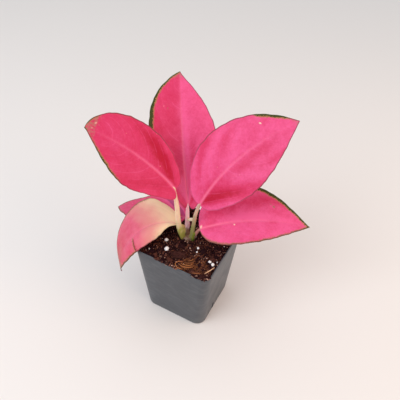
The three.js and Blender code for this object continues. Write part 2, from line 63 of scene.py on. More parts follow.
# A blade starts at base and follows its midrib. heading is the compass turn from +X towards +Y, rise the
# climb at the base, and both change by turn and droop over the length. roll and twist tip the blade about
# its midrib, right edge up. fold lifts both halves from the midrib. Pairs are for the left and right half,
# seen from the base: half is the widest half width and widest its place along the blade, point shapes the
# tip, and curl is how far the half has turned up at its edge. lobe is how far the base hangs back, and a
# small sinus closes the notch over the stalk. green gives the width of the green edge at shares of the
# length, for each half. tone is each half's colour, from 0, deep, to 1, light; it is partly the leaf's own
# tint and partly painted light and shade, as where one half is painted lighter because it is lit more.
# patches change it, and swell the blade with it; the deep ones are partly painted shade where folds and
# other leaves shade the blade, and the light ones partly painted sheen. They give where their vein leaves
# the midrib, how far out they are, their two reaches and how much lighter they are. pale is how faded the
# base is, how that changes along the blade, and its least value. dry is how dried out the blade is at
# shares of its length. marks are small spots: their places along and across, their reach in millimetres,
# and 1 for a cream one or -1 for an olive one.
LEAVES = {
    "leaf_back": dict(
        base=(-7.7, 7.5, 136), length=141.5, half=(36, 36.5), widest=(0.55, 0.48), point=(0.9, 1.15),
        heading=130.5, turn=-10, rise=56, droop=-22, bend=1, roll=-12, twist=-1, fold=8, curl=(0, 0),
        lobe=(9, 12), sinus=1.5, wave=1, waves=2.2, phase=0.1, pale=(0, 0, 0), tone=(0.34, 0.75),
        green=(
            [(0, 0.1), (0.42, 0.3), (0.48, 2), (0.55, 3.8), (0.66, 3.3), (0.73, 2.1), (0.82, 1.7), (1, 1.2)],
            [(0, 0), (1, 0.2)],
        ),
        patches=[(0.35, 0.1, 0.4, 0.1, 0.35), (0.6, -0.25, 0.25, 0.2, -0.05), (0.3, -0.6, 0.14, 0.4, -0.25),
                 # the last patch here is a painted shadow: it darkens the back blade's right lobe to near
                 # black where the gap by the stalks lies in shade
                 (0.3, 0.28, 0.2, 0.12, -0.3), (0.06, -0.1, 0.14, 0.7, 0.85), (0, 0.85, 0.09, 0.32, -3)],
        dry=[(0, 0), (0.9, 0), (0.96, 0.5), (1, 0.8)],
        marks=[(0.712, -0.59, 0.8, 0.4), (0.7, -0.45, 0.8, -0.8), (0.73, -0.5, 0.7, -0.6)],
    ),
    "leaf_left": dict(
        base=(-15, -7.5, 166.5), length=102.5, half=(31.5, 29), widest=(0.47, 0.55), point=(1.1, 0.57),
        heading=195.5, turn=17.5, rise=50.5, droop=-23, bend=1, roll=39, twist=-1, fold=8, curl=(0, 0),
        lobe=(13, 5), sinus=0.5, wave=0.8, waves=2, phase=0.3, pale=(0, 0, 0), tone=(0.2, 0.2),
        green=([(0, 0), (0.42, 0), (0.55, 0.9), (0.75, 1.3), (0.9, 0.8), (0.96, 0.6), (1, 1.4)],
               [(0, 0), (0.5, 0.2), (0.7, 0.6), (0.9, 0.5), (1, 1.4)]),
        patches=[(0.12, 0.5, 0.14, 0.35, -0.8), (0.3, 0.65, 0.12, 0.3, -0.5), (0.1, -0.6, 0.12, 0.4, -0.3),
                 (0.75, 0, 0.25, 0.5, 0.12)],
        dry=[(0, 0), (0.86, 0), (0.92, 0.5), (1, 0.6)],
        marks=[(0.021, -0.02, 1, 1), (0.925, 0.5, 1.2, 0.5), (0.94, 0.15, 1, 0.4)],
    ),
    "leaf_right": dict(
        base=(8, 2.5, 148), length=127.5, half=(35.5, 34.5), widest=(0.45, 0.45), point=(1, 0.98),
        heading=47.5, turn=-12, rise=64, droop=-39, bend=1, roll=-41, twist=0.5, fold=8, curl=(0, 0),
        lobe=(3, 6), sinus=1.5, wave=0.8, waves=2.4, phase=0.6, pale=(0, 0, 0), tone=(0.78, 0.74),
        green=([(0, 0), (0.73, 0.1), (0.78, 2), (0.9, 1.9), (0.95, 0.7), (1, 0.6)],
               [(0, 0), (0.6, 0.3), (1, 0.5)]),
        patches=[(0.14, -0.6, 0.09, 0.4, 0.1), (0.35, -0.6, 0.06, 0.4, -0.3), (0.48, -0.2, 0.06, 0.22, 0.2),
                 (0.62, -0.5, 0.05, 0.3, -0.2), (0.9, -0.1, 0.15, 0.6, 0.1), (0.06, 0.4, 0.17, 0.55, -1.3),
                 (0.55, 0.22, 0.25, 0.18, -0.45), (0.3, 0.6, 0.08, 0.4, 0.15), (0.48, 0.8, 0.06, 0.3, -0.35),
                 (0.05, -0.9, 0.1, 0.35, -0.5)],
        dry=[(0, 0), (0.92, 0), (0.97, 0.4), (1, 0.6)],
        marks=[(0.758, -0.61, 0.9, 1)],
    ),
    "leaf_low_right": dict(
        base=(11.5, -1, 117.5), length=116, half=(41, 26.5), widest=(0.36, 0.36), point=(1.17, 0.93),
        heading=33.5, turn=-9.5, rise=19.5, droop=-33.5, bend=1, roll=-22.5, twist=2.5, fold=9.5, curl=(0, 0),
        lobe=(1.5, 1.5), sinus=1.5, wave=0.8, waves=2, phase=0.2, pale=(0, 0, 0), tone=(0.8, 0.85),
        green=([(0, 0), (0.46, 0.4), (0.52, 2.5), (0.66, 3), (0.85, 2.4), (1, 1.4)],
               [(0, 0.9), (0.5, 0.9), (0.85, 0.9), (1, 1.1)]),
        patches=[(0.3, -0.45, 0.16, 0.2, -0.4), (0.5, -0.12, 0.25, 0.12, 0.5), (0.35, -0.3, 0.04, 0.3, 0.25),
                 (0.45, -0.75, 0.1, 0.25, -0.5), (0.04, -0.85, 0.1, 0.35, -0.9), (0.1, 0, 0.1, 0.6, -0.25)],
        dry=[(0, 0), (0.86, 0), (0.95, 0.5), (1, 0.7)],
        marks=[(0.313, 0.12, 0.9, 1), (0.667, -0.54, 1, -1), (0.64, -0.6, 0.8, -0.8),
               # this mark at the stalk is a painted highlight on the joint
               (0.016, -0.2, 1.8, 0.6)],
    ),
    "leaf_drooping": dict(
        base=(-11, -2, 113.5), length=110, half=(17.5, 36), widest=(0.45, 0.32), point=(1, 0.88),
        heading=217, turn=26, rise=37, droop=-138, bend=0.83, roll=18, twist=-40, fold=6, curl=(-71, -12),
        lobe=(-9, -9), sinus=1.5, wave=0.4, waves=2, phase=0.5, pale=(1.18, -1.75, 0.2), tone=(0.45, 0.5),
        green=([(0, 0), (0.45, 0.2), (0.6, 0.9), (1, 0.9)], [(0, 0), (0.25, 0.8), (0.9, 1), (1, 1.5)]),
        patches=[(0.55, -0.2, 0.25, 0.3, 0.2), (0.86, 0, 0.18, 1, -1.2), (0.72, 0.75, 0.18, 0.5, -0.8)],
        dry=[(0, 0), (0.7, 0), (0.8, 0.35), (0.9, 0.8), (1, 0.9)],
        marks=[],
    ),
    "leaf_low_back": dict(
        base=(-13, 11.5, 110.5), length=97.5, half=(24.5, 23.5), widest=(0.41, 0.41), point=(0.89, 0.89),
        heading=179.5, turn=0, rise=-1, droop=-31, bend=1, roll=0, twist=0, fold=5, curl=(-8, -8),
        lobe=(3, 3), sinus=1.5, wave=0.8, waves=2.3, phase=0.8, pale=(0, 0, 0), tone=(0.5, 0.5),
        green=([(0, 0), (1, 0.9)], [(0, 0), (0.4, 0.9), (1, 1)]),
        # this patch lifts the tone into the violet, a painted shade on the base of the hidden young blade
        patches=[(0.02, 0, 0.13, 2, 2.2)],
        dry=[(0, 0), (1, 0.4)],
        marks=[],
    ),
}
PALE_LEAF = "leaf_drooping"

# Where the old pale blade has creased over the pot's corner: its start and its end at the edge, each as
# shares along and across, how far the outer part rides over the inner, how far it stands above it, how far
# the fold stays open and tucks the inner part under, and how wide its dark lining is.
CREASE = dict(start=(0.5, -0.16), end=(0.585, -1), over=2.4, rise=1.3, open=14, tuck=7, lined=3)

# A stalk runs from inside the crown through the via points to its blade, which it meets at the angle dip.
# radii are taken in equal steps from its foot to its top. foot and top are its colours, and ripe says at
# which shares of its length the one starts and stops turning into the other.
STALKS = {
    "leaf_back": dict(
        start=(-4.5, 2.5, 95), via=[(-6.2, 3.4, 102), (-6.8, 5.2, 116)], dip=15,
        radii=[2.6, 2.5, 2.4, 2.1, 1.9], foot="#8f6a50", top="#fccad4", ripe=(0.1, 0.45),
    ),
    "leaf_left": dict(
        start=(-7.7, -2.7, 95), via=[(-8.3, -5.1, 105), (-9.8, -8.1, 119), (-12, -8, 145)], dip=55,
        radii=[2.4, 3.2, 2.7, 2.6, 2.5, 1.8], foot="#a9a650", top="#efd2b0", ripe=(0.15, 0.5),
    ),
    "leaf_right": dict(
        start=(0.7, 0.7, 95), via=[(2.3, 0, 103), (3.2, 0.1, 116), (5, 0.5, 134)], dip=15,
        radii=[2.6, 2.3, 2, 1.9], foot="#8c8850", top="#c2a88c", ripe=(0.3, 0.85),
    ),
    # this stalk's colours are darkened, as painted shade, where it stands under the leaves above
    "leaf_low_right": dict(
        start=(2.5, 1.2, 95), via=[(5, 0, 102)], dip=50, radii=[2.4, 2, 1.7],
        foot="#6e6040", top="#b07c70", ripe=(0.15, 0.55),
    ),
    "leaf_drooping": dict(
        start=(-7.5, -0.6, 95), via=[(-8.2, -2, 102)], dip=15, radii=[2.4, 3, 2.2],
        foot="#a8a84c", top="#ccbe70", ripe=(0.15, 0.55),
    ),
    "leaf_low_back": dict(
        start=(-4, 3.5, 95), via=[(-6.5, 5.5, 101)], dip=50, radii=[2.2, 2, 1.7],
        foot="#7c5c46", top="#b8607c", ripe=(0.15, 0.55),
    ),
}
# A stalk is straight for this long before its blade, and the midrib stands this far below the blade.
STALK_LEAD = 6
RIB_DEPTH = 1.3

# Short sheaths among the stalks: the ends, the radii at them, and the colours of the foot and the top.
SHEATHS = {
    "sheath_front": dict(
        start=(2.7, 0, 95), end=(6, -2, 109), radii=(2.4, 1.2), foot="#4c5a1a", top="#74802a",
    ),
    "sheath_stub": dict(
        start=(-5.5, 5, 118), end=(2.8, 0.3, 126), radii=(1.7, 1.7), foot="#e3d2ae", top="#efe0c4",
    ),
}

# The crown: its middle, half sizes, turn, lowest and highest point, and the height at which its foot colour
# starts to fade, with the height that it takes.
CROWN = dict(x=-2.2, y=0.9, wide=9.8, deep=6.4, turn=26, bottom=76, top=99.5, foot=94, fade=14)


# ---- settings ----

def linear(hex_colour):
    """An sRGB hex colour as linear red, green, blue and alpha."""
    parts = [int(hex_colour[i:i + 2], 16) / 255 for i in (1, 3, 5)]
    return [c / 12.92 if c <= 0.04045 else ((c + 0.055) / 1.055) ** 2.4 for c in parts] + [1]


def colour(name, description, hex_colour):
    return bpy.props.FloatVectorProperty(
        name=name, description=description, subtype="COLOR", size=4, min=0, max=1, default=linear(hex_colour)
    )


def amount(name, description, default, **kind):
    return bpy.props.FloatProperty(name=name, description=description, default=default, **kind)


def length(name, description, millimetres):
    return amount(name, description, millimetres * MM, unit="LENGTH")


def count(name, description, default):
    return bpy.props.IntProperty(name=name, description=description, default=default)


POT_LOW, POT_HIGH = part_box("pot")


class PotSettings(bpy.types.PropertyGroup):
    """Sizes and colour of the nursery pot."""

    height: length("Height", "Height of the pot", POT_HIGH.z / MM)
    top_side: length("Top side", "Width of the pot at its rim", (POT_HIGH.x - POT_LOW.x) / MM)
    base_side: length("Base side", "Width of the pot at its base", 74)
    top_corner: length("Top corner", "Corner radius at the rim", 9.3)
    base_corner: length("Base corner", "Corner radius at the base", 11.3)
    wall: length("Wall", "Thickness of the walls", 1.2)
    floor: length("Floor", "Thickness of the floor", 2)
    bottom_edge: length("Bottom edge", "Rounding all round under the walls", 1.5)
    drain: length("Drain hole", "Diameter of each hole in the floor", 9)
    drain_offset: length("Drain offset", "Distance of each hole from the middle, along both walls", 22)
    slot_width: length("Slot width", "Width of the slots low in two walls", 3)
    slot_height: length("Slot height", "Height of the slots low in two walls", 10)
    slot_bottom: length("Slot bottom", "Height at which the slots start", 4)
    slot_offset: length("Slot offset", "Distance of the slots from the middle of their wall", 9)
    plastic: colour("Plastic", "Colour of the moulded plastic", "#3a3e44")
    scuff: colour("Scuff", "Colour where the plastic is scuffed and dusty", "#65676b")


class SoilSettings(bpy.types.PropertyGroup):
    """Form and colours of the potting mix."""

    edge_height: length("Edge height", "Level of the soil at the pot's wall", 93)
    mound: length("Mound", "How far the soil rises towards the crown", 3)
    mound_width: length("Mound width", "How far out the mound reaches", 26)
    crumb: length("Relief", "Height of the long waves in the surface", 1.5)
    bank: length("Bank", "How far the soil is heaped up against the front walls", 6)
    crumbs: count("Crumbs", "How many loose crumbs lie on the soil", 6000)
    fibres: count("Fibres", "How many coir fibres are tried, of which those in the pot are laid", 520)
    dark: colour("Wet peat", "Colour of the wet peat", "#291417")
    light: colour("Dry peat", "Colour of the drier crumbs", "#764839")
    # the driest peat is partly the colour of dry crumbs and partly painted glints of water
    tan: colour("Driest peat", "Colour of the few driest crumbs", "#c49c88")
    coir_dark: colour("Dark coir", "Colour of the darkest fibres", "#582a1a")
    coir_light: colour("Light coir", "Colour of the light fibres", "#bf7840")
    straw: colour("Straw", "Colour of the palest straws", "#e2b48e")
    perlite: colour("Perlite", "Colour of the perlite grains", "#f8f6f4")
    pore: colour("Pores", "Colour of the perlite's pores", "#ddd6d2")
    bark: colour("Bark", "Colour of the bark chip", "#6b4636")
    groove: colour("Grooves", "Colour of the grooves in the bark", "#3a211a")


class BladeSettings(bpy.types.PropertyGroup):
    """Thickness, relief and colours of the leaf blades."""

    thickness: length("Thickness", "Thickness of a blade next to its midrib", 0.8)
    margin: length("Margin", "Thickness of a blade at its edge", 0.4)
    quilt: length("Quilting", "How far the blade bulges between its side veins", 0.3)
    swell: length("Swelling", "How far the lighter patches stand above the deeper ones", 0.8)
    channel: length("Channel", "Depth of the groove along the midrib", 0.5)
    veins: count("Veins", "How many side veins each half of a blade has", 8)
    # crimson and light pink, the ends of a blade's tone, are partly the leaves' own colour and partly painted
    # shade and painted sheen
    crimson: colour("Crimson", "Colour of the deepest patches", "#b4042e")
    pink: colour("Pink", "Main colour of a blade", "#cf305e")
    light: colour("Light pink", "Colour of the lightest patches and of the side veins", "#e85c92")
    # the midrib colour is partly its own paleness and partly painted light, brightened against the shade in
    # its channel
    midrib: colour("Midrib", "Colour of the midrib", "#f4799f")
    # painted shadow: the near black laid where the base of a blade lies in deep shade beside the stalks
    shade: colour("Shade", "Colour in the fold beside the stalk", "#3c0d18")
    # painted shade: the violet that a young blade shows where it is hidden in shade
    shade_violet: colour("Violet", "Colour where a young blade is hidden in shade", "#b8427c")
    dry: colour("Dry", "Colour of the flecks where a blade dries out", "#a67c68")
    green: colour("Green", "Colour of the green edge", "#3b4213")
    fringe: colour("Fringe", "Colour of the flecks inside the green edge", "#a8744c")
    rim: colour("Rim", "Colour of the thin dark line round a blade", "#74383a")
    salmon: colour("Salmon", "Colour of an old blade half way", "#d98a86")
    cream: colour("Cream", "Colour of an old blade near its stalk", "#ecd3ac")
    speck: colour("Specks", "Colour of the sparse pale specks", "#e6a58c")
    # one of the cream marks is a painted highlight, on a leaf's joint
    cream_mark: colour("Cream marks", "Colour of the single pale marks", "#f3d9bd")
    olive_mark: colour("Olive marks", "Colour of the single olive marks", "#8a7a4a")
    underside: colour("Underside", "Colour that dulls the underside", "#c8788a")


class StemSettings(bpy.types.PropertyGroup):
    """Colours of the crown, and those that all the stalks share."""

    line: colour("Lines", "Colour of the fine lines along a stalk", "#c08a68")
    blush: colour("Blush", "Colour beside the channel of a stalk", "#d9788a")
    crown_foot: colour("Crown foot", "Colour of the crown at the soil", "#5a3c2c")
    crown_top: colour("Crown top", "Colour of the top of the crown", "#a98468")


class StageSettings(bpy.types.PropertyGroup):
    """Camera, floor and light."""

    lens: amount("Lens", "Focal length", 37.8, subtype="DISTANCE_CAMERA")
    floor: colour("Floor", "Colour of the plain floor", "#e9e5e1")
    key: amount("Key light", "Power of the large soft light", 10.2, unit="POWER")
    key_tint: colour("Key tint", "Colour of the large soft light", "#f6f9ff")
    fill: amount("Fill light", "Power of the soft fill", 6.5, unit="POWER")
    fill_tint: colour("Fill tint", "Colour of the soft fill", "#ffcfa8")
    sky: amount("Surrounding", "Strength of the even light all round", 0.81)
    sky_tint: colour("Surrounding tint", "Colour of the even light all round", "#f4f6fa")


# ---- small helpers ----

SOFT = dict(interpolation_type="SMOOTHSTEP")


def put(tree, kind, sockets, output=0, **settings):
    """Adds a node, gives each socket its value or link, and returns one of its outputs."""
    node = tree.nodes.new("ShaderNode" + kind)
    for name, value in settings.items():
        setattr(node, name, value)
    for name, value in sockets.items():
        if isinstance(value, bpy.types.NodeSocket):
            tree.links.new(value, node.inputs[name])
        else:
            node.inputs[name].default_value = value
    return node.outputs[output]


def place_in_mm(tree):
    """Where a point is on the plant, in millimetres."""
    place = put(tree, "TexCoord", {}, "Object")
    return put(tree, "VectorMath", {0: place, "Scale": 1 / MM}, operation="SCALE")


def lay_over(tree, ground, tint, driver, start, whole, most=1, within=()):
    """Lays a tint over a ground colour, more and more as the driver goes from start to whole, where it is as
    strong as most says. It shows only within the given shares."""
    share = put(tree, "MapRange", {0: driver, 1: start, 2: whole, 4: most}, **SOFT)
    for limit in within:
        share = put(tree, "Math", {0: share, 1: limit}, operation="MULTIPLY")
    return put(tree, "Mix", {0: share, 6: ground, 7: tint}, 2, data_type="RGBA")


def new_material(name, roughness, **sockets):
    """A material with one Principled shader, and its tree and the shader's sockets."""
    material = bpy.data.materials.new(name)
    material.use_nodes = True
    shader = material.node_tree.nodes["Principled BSDF"]
    shader.inputs["Roughness"].default_value = roughness
    for socket, value in sockets.items():
        shader.inputs[socket.replace("_", " ")].default_value = value
    return material, material.node_tree, shader.inputs


def feed(tree, shader, **sources):
    """Links the shader's sockets to what drives them."""
    for socket, source in sources.items():
        tree.links.new(source, shader[socket.replace("_", " ")])


def new_object(name, data):
    """An object in the scene."""
    made = bpy.data.objects.new(name, data)
    bpy.context.scene.collection.objects.link(made)
    return made


def mesh_from(work, name):
    """A mesh made of what is in a bmesh, which is then freed."""
    mesh = bpy.data.meshes.new(name)
    work.to_mesh(mesh)
    work.free()
    return mesh


def new_piece(name, mesh, material, nodes=(), sharp=35):
    """An object of the plant, smooth but for its sharp edges, riding on its body."""
    mesh.materials.append(material)
    mesh.shade_smooth()
    mesh.set_sharp_from_angle(angle=math.radians(sharp))
    piece = new_object(name, mesh)
    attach(piece, BODY)
    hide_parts(*nodes)
    return piece


def mesh_of(name, points, faces):
    """A mesh from points in millimetres, its faces turned outwards."""
    mesh = bpy.data.meshes.new(name)
    mesh.from_pydata([tuple(p) for p in np.asarray(points, float) * MM], [], faces)
    work = bmesh.new()
    work.from_mesh(mesh)
    bmesh.ops.recalc_face_normals(work, faces=work.faces)
    work.to_mesh(mesh)
    work.free()
    return mesh


def loft(name, rings):
    """A closed mesh through rings of equal length."""
    rings = np.asarray(rings, float)
    around = rings.shape[1]
    faces = []
    for r in range(len(rings) - 1):
        for i in range(around):
            a, b = r * around + i, r * around + (i + 1) % around
            faces.append((a, b, b + around, a + around))
    faces.append(tuple(range(around))[::-1])
    faces.append(tuple(range((len(rings) - 1) * around, len(rings) * around)))
    return mesh_of(name, rings.reshape(-1, 3), faces)


def paint(mesh, name, values):
    """Paints one value on each point of a mesh."""
    layer = mesh.attributes.new(name, "FLOAT", "POINT")
    layer.data.foreach_set("value", np.asarray(values, np.float32).ravel())


# ---- pot ----

def pot_section(pot, z, inset, corner_steps=12, wall_steps=8):
    """The pot's section at height z, drawn in from its outside, as points in millimetres."""
    share = z / (pot.height / MM)
    half = (pot.base_side + (pot.top_side - pot.base_side) * share) / MM / 2 - inset
    radius = (pot.base_corner + (pot.top_corner - pot.base_corner) * share) / MM - inset
    ring = []
    for corner in range(4):
        start = corner * math.pi / 2
        turn = Matrix.Rotation(start, 3, "Z")
        middle = turn @ Vector((half - radius, half - radius, z))
        for i in range(corner_steps + 1):
            angle = start + i / corner_steps * math.pi / 2
            ring.append(middle + Vector((math.cos(angle), math.sin(angle), 0)) * radius)
        first, last = ring[-1], turn @ Vector((radius - half, half, z))
        ring += [first.lerp(last, i / wall_steps) for i in range(1, wall_steps)]
    return ring


def cut(piece, shapes):
    """Takes shapes out of a piece."""
    tools = [new_object("cutter", mesh_from(shape, "cutter")) for shape in shapes]
    for tool in tools:
        modifier = piece.modifiers.new("cut", "BOOLEAN")
        modifier.object, modifier.operation, modifier.solver = tool, "DIFFERENCE", "EXACT"
    bpy.context.view_layer.update()
    cut_mesh = bpy.data.meshes.new_from_object(piece.evaluated_get(bpy.context.evaluated_depsgraph_get()))
    piece.modifiers.clear()
    piece.data = cut_mesh
    for tool in tools:
        bpy.data.objects.remove(tool)


def pot_plastic(pot):
    """Black polypropylene, injection moulded and handled: a satin skin that shows grey under a bright sky,
    with faint lighter slanted streaks and dusty scuffs. The mould's grain is finer, and is drawn at 0.6 mm."""
    dust_size, streak_size, grain_size = 22, 3, 0.6
    material, tree, shader = new_material("pot_plastic", 0.42, IOR=1.49)
    place = place_in_mm(tree)
    dust = put(tree, "TexNoise", {"Vector": place, "Scale": 1 / dust_size, "Detail": 5, "Roughness": 0.6})
    dust = put(tree, "MapRange", {0: dust, 1: 0.4, 2: 0.75}, **SOFT)
    slant = {"Vector": place, "Rotation": (0.15, 0.2, 0), "Scale": (4, 4, 1)}
    slanted = put(tree, "Mapping", slant, vector_type="TEXTURE")
    streak_noise = {"Vector": slanted, "Scale": 1 / streak_size, "Detail": 3, "Distortion": 0.8}
    streaks = put(tree, "MapRange", {0: put(tree, "TexNoise", streak_noise), 1: 0.42, 2: 0.75, 4: 0.3}, **SOFT)
    wear = put(tree, "Math", {0: dust, 1: 0.35, 2: streaks}, operation="MULTIPLY_ADD")
    tone = put(tree, "Mix", {0: wear, 6: pot.plastic, 7: pot.scuff}, 2, data_type="RGBA")
    dulled = put(tree, "MapRange", {0: dust, 3: 0.32, 4: 0.46})
    grain = put(tree, "TexNoise", {"Vector": place, "Scale": 1 / grain_size, "Detail": 2})
    bump = put(tree, "Bump", {"Height": grain, "Strength": 0.1, "Distance": 0.1 * MM})
    feed(tree, shader, Base_Color=tone, Roughness=dulled, Normal=bump)
    return material


def make_pot(pot):
    """One thin moulded shell: down the outside, over a rounded rim and down inside, with its holes cut."""
    edge_steps, wall_steps, rim_steps, drain_sides = 4, 11, 6, 40
    height, wall, edge = pot.height / MM, pot.wall / MM, pot.bottom_edge / MM
    shoulder = height - wall / 2
    rings = []
    for i in range(edge_steps + 1):
        angle = i / edge_steps * math.pi / 2
        rings.append(pot_section(pot, edge * (1 - math.cos(angle)), edge * (1 - math.sin(angle))))
    for z in np.linspace(edge, shoulder, wall_steps + 1)[1:]:
        rings.append(pot_section(pot, z, 0))
    for i in range(1, rim_steps + 1):
        angle = i / rim_steps * math.pi
        z, inset = shoulder + wall / 2 * math.sin(angle), wall / 2 * (1 - math.cos(angle))
        rings.append(pot_section(pot, z, inset))
    for z in np.linspace(shoulder, pot.floor / MM, wall_steps + 1)[1:]:
        rings.append(pot_section(pot, z, wall))
    piece = new_piece("nursery_pot", loft("nursery_pot", rings), pot_plastic(pot), ["pot"])
    holes = []
    for x in (-pot.drain_offset, pot.drain_offset):
        for y in (-pot.drain_offset, pot.drain_offset):
            holes.append(bmesh.new())
            bmesh.ops.create_cone(
                holes[-1], cap_ends=True, segments=drain_sides, radius1=pot.drain / 2, radius2=pot.drain / 2,
                depth=6 * pot.floor, matrix=Matrix.Translation((x, y, 0)),
            )
    slot = Matrix.Diagonal((10 * pot.wall, pot.slot_width, pot.slot_height, 1))
    for side in (-1, 1):
        centre = (side * pot.base_side / 2, -side * pot.slot_offset, pot.slot_bottom + pot.slot_height / 2)
        holes.append(bmesh.new())
        bmesh.ops.create_cube(holes[-1], size=1, matrix=Matrix.Translation(centre) @ slot)
    cut(piece, holes)
    piece.data.set_sharp_from_angle(angle=math.radians(35))


# ---- soil ----

# The long waves in the surface: how many, how long the longest is, and how far each is turned from the last.
WAVES = 5
WAVE_LENGTH = 16
WAVE_TURN = 2.4

# Where the mix is heaped up against a wall and reaches the rim: the middle of each heap and its reach along X
# and Y.
HEAPS = [(39, -40, 9, 7), (-6, -43.5, 9, 3.5), (-22, -43.5, 7, 3), (8, -43, 4, 3.5)]

# The mix stands this far from the pot, and its surface is made in this many rings. Loose pieces lie within
# this half width of it, with rounded corners, in places drawn from a slightly larger square.
SOIL_GAP = 0.3
SOIL_RINGS = 72
SOIL_HALF = 43.2
SOIL_CORNER = 9
DRAWN = 44


def soil_height(soil, x, y):
    """Height of the soil's surface in millimetres, with its mound, its heaps and its long waves."""
    total = 0
    for wave in range(WAVES):
        way = wave * WAVE_TURN
        span = WAVE_LENGTH * (1 - wave / (2 * WAVES))
        total += math.sin(2 * math.pi * (x * math.cos(way) + y * math.sin(way)) / span + wave)
    reach = math.hypot(x - CROWN["x"], y - CROWN["y"]) / (soil.mound_width / MM)
    mound = soil.mound / MM * math.exp(-reach * reach)
    heap = max(math.exp(-((x - a) / wide) ** 2 - ((y - b) / deep) ** 2) for a, b, wide, deep in HEAPS)
    return soil.edge_height / MM + mound + soil.crumb / MM * total / WAVES + soil.bank / MM * heap


# Where the mix is drier and browner: a broken clod of peat in front of the crown, and two smaller ones.
DRY_CLODS = [(2, -26, 8, 1), (13, -22, 5, 0.8), (-33, -31, 5, 0.6)]

# Where coir fibres lie thickest, and which way most of them run there.
COIR_WAY = math.radians(28)
COIR_NESTS = [(13, -35, 9, 1), (24, -27, 8, 0.8), (34, -32, 8, 0.6), (16, -12, 8, 0.35)]


def near_any(x, y, places):
    """How near a place is to the nearest of some places, each with a middle, a reach and a weight."""
    return max(
        weight * math.exp(-((x - a) ** 2 + (y - b) ** 2) / reach ** 2) for a, b, reach, weight in places
    )


def lumps(x, y):
    """Finer relief of the mix: lumps a few millimetres across with small ones on them."""
    lump_size, grit_size = 4.2, 1.5
    low = noise.fractal(Vector((x, y, 3)) / lump_size, 0.7, 2.1, 4)
    high = noise.fractal(Vector((x, y, 9)) / grit_size, 0.8, 2.1, 2)
    return 1.2 * low + 0.4 * high


def lumpy_height(soil, x, y, relief=0.9):
    """Height of the soil's surface with its finer relief."""
    return soil_height(soil, x, y) + lumps(x, y) * relief


def damp_peat(soil):
    """Damp peat potting mix: near black and wine-brown where wet, brown to tan where drier, and matt; its
    palest tan crumbs are partly painted glints of water. Its grains are drawn at about a millimetre, the
    finest that shows."""
    crumb_size, wet_size = 1.2, 1.1
    material, tree, shader = new_material("damp_peat", 0.85, Specular_IOR_Level=0.03)
    place = place_in_mm(tree)
    crumb = put(tree, "TexNoise", {"Vector": place, "Scale": 1 / crumb_size, "Detail": 3, "Roughness": 0.75})
    dryness_and_glint = put(tree, "Attribute", {}, "Fac", attribute_name="tone")
    dryness_and_glint = put(tree, "Math", {0: crumb, 1: 0.5, 2: dryness_and_glint}, operation="MULTIPLY_ADD")
    tone = lay_over(tree, soil.dark, soil.light, dryness_and_glint, 0.4, 0.95)
    tone = lay_over(tree, tone, soil.tan, dryness_and_glint, 1.05, 1.7)
    wet = put(tree, "TexNoise", {"Vector": place, "Scale": 1 / wet_size, "Detail": 2})
    dulled = put(tree, "MapRange", {0: wet, 1: 0.35, 2: 0.6, 3: 0.5, 4: 0.95})
    bump = put(tree, "Bump", {"Height": crumb, "Strength": 0.8, "Distance": 0.6 * MM})
    feed(tree, shader, Base_Color=tone, Roughness=dulled, Normal=bump)
    return material


def coir(soil):
    """Coir fibre, dry: matt golden to red-brown threads."""
    material, tree, shader = new_material("coir_fibre", 0.7, Specular_IOR_Level=0.3)
    share = put(tree, "Attribute", {}, "Fac", attribute_name="tone")
    tone = put(tree, "Mix", {0: share, 6: soil.coir_dark, 7: soil.coir_light}, 2, data_type="RGBA")
    palest = put(tree, "MapRange", {0: share, 1: 1, 2: 2})
    tone = put(tree, "Mix", {0: palest, 6: tone, 7: soil.straw}, 2, data_type="RGBA")
    feed(tree, shader, Base_Color=tone)
    return material


def make_soil(soil, pot, material):
    """The block of mix that fills the pot, with a lumpy surface."""
    inset = pot.wall / MM + SOIL_GAP
    bottom_z = pot.floor / MM + SOIL_GAP
    top_z = pot.height / MM
    steps = dict(corner_steps=16, wall_steps=48)
    bottom = pot_section(pot, bottom_z, inset, **steps)
    brim = []
    for low, high in zip(bottom, pot_section(pot, top_z, inset, **steps)):
        z = lumpy_height(soil, high.x, high.y, relief=0.5)
        edge = high.lerp(low, (top_z - z) / (top_z - bottom_z))
        brim.append(Vector((edge.x, edge.y, z)))
    sides = [[a.lerp(b, share) for a, b in zip(bottom, brim)] for share in (0.5, 0.8, 0.93)]
    rings = [bottom, *sides, brim]
    for k in range(SOIL_RINGS - 1, 0, -1):
        flat = [(p.x * k / SOIL_RINGS, p.y * k / SOIL_RINGS) for p in brim]
        rings.append([Vector((x, y, lumpy_height(soil, x, y))) for x, y in flat])
    mesh = loft("potting_mix", rings)
    paint(mesh, "tone", [0.3 * near_any(v.co.x / MM, v.co.y / MM, DRY_CLODS) for v in mesh.vertices])
    new_piece("potting_mix", mesh, material, ["soil"], sharp=180)


def inside_pot(x, y, keep):
    """Whether a place on the soil is at least keep millimetres inside the pot's wall and off the crown."""
    half = SOIL_HALF - keep
    corner = max(SOIL_CORNER - keep, 1)
    over = math.hypot(max(abs(x) - half + corner, 0), max(abs(y) - half + corner, 0))
    off_crown = math.hypot((x - CROWN["x"]) / CROWN["wide"], (y - CROWN["y"]) / CROWN["deep"]) > 0.8
    return over < corner and off_crown


def scattered(soil, draw, keep):
    """A random place on the soil's surface."""
    while True:
        x, y = draw.uniform(-DRAWN, DRAWN), draw.uniform(-DRAWN, DRAWN)
        if inside_pot(x, y, keep):
            return x, y, lumpy_height(soil, x, y)


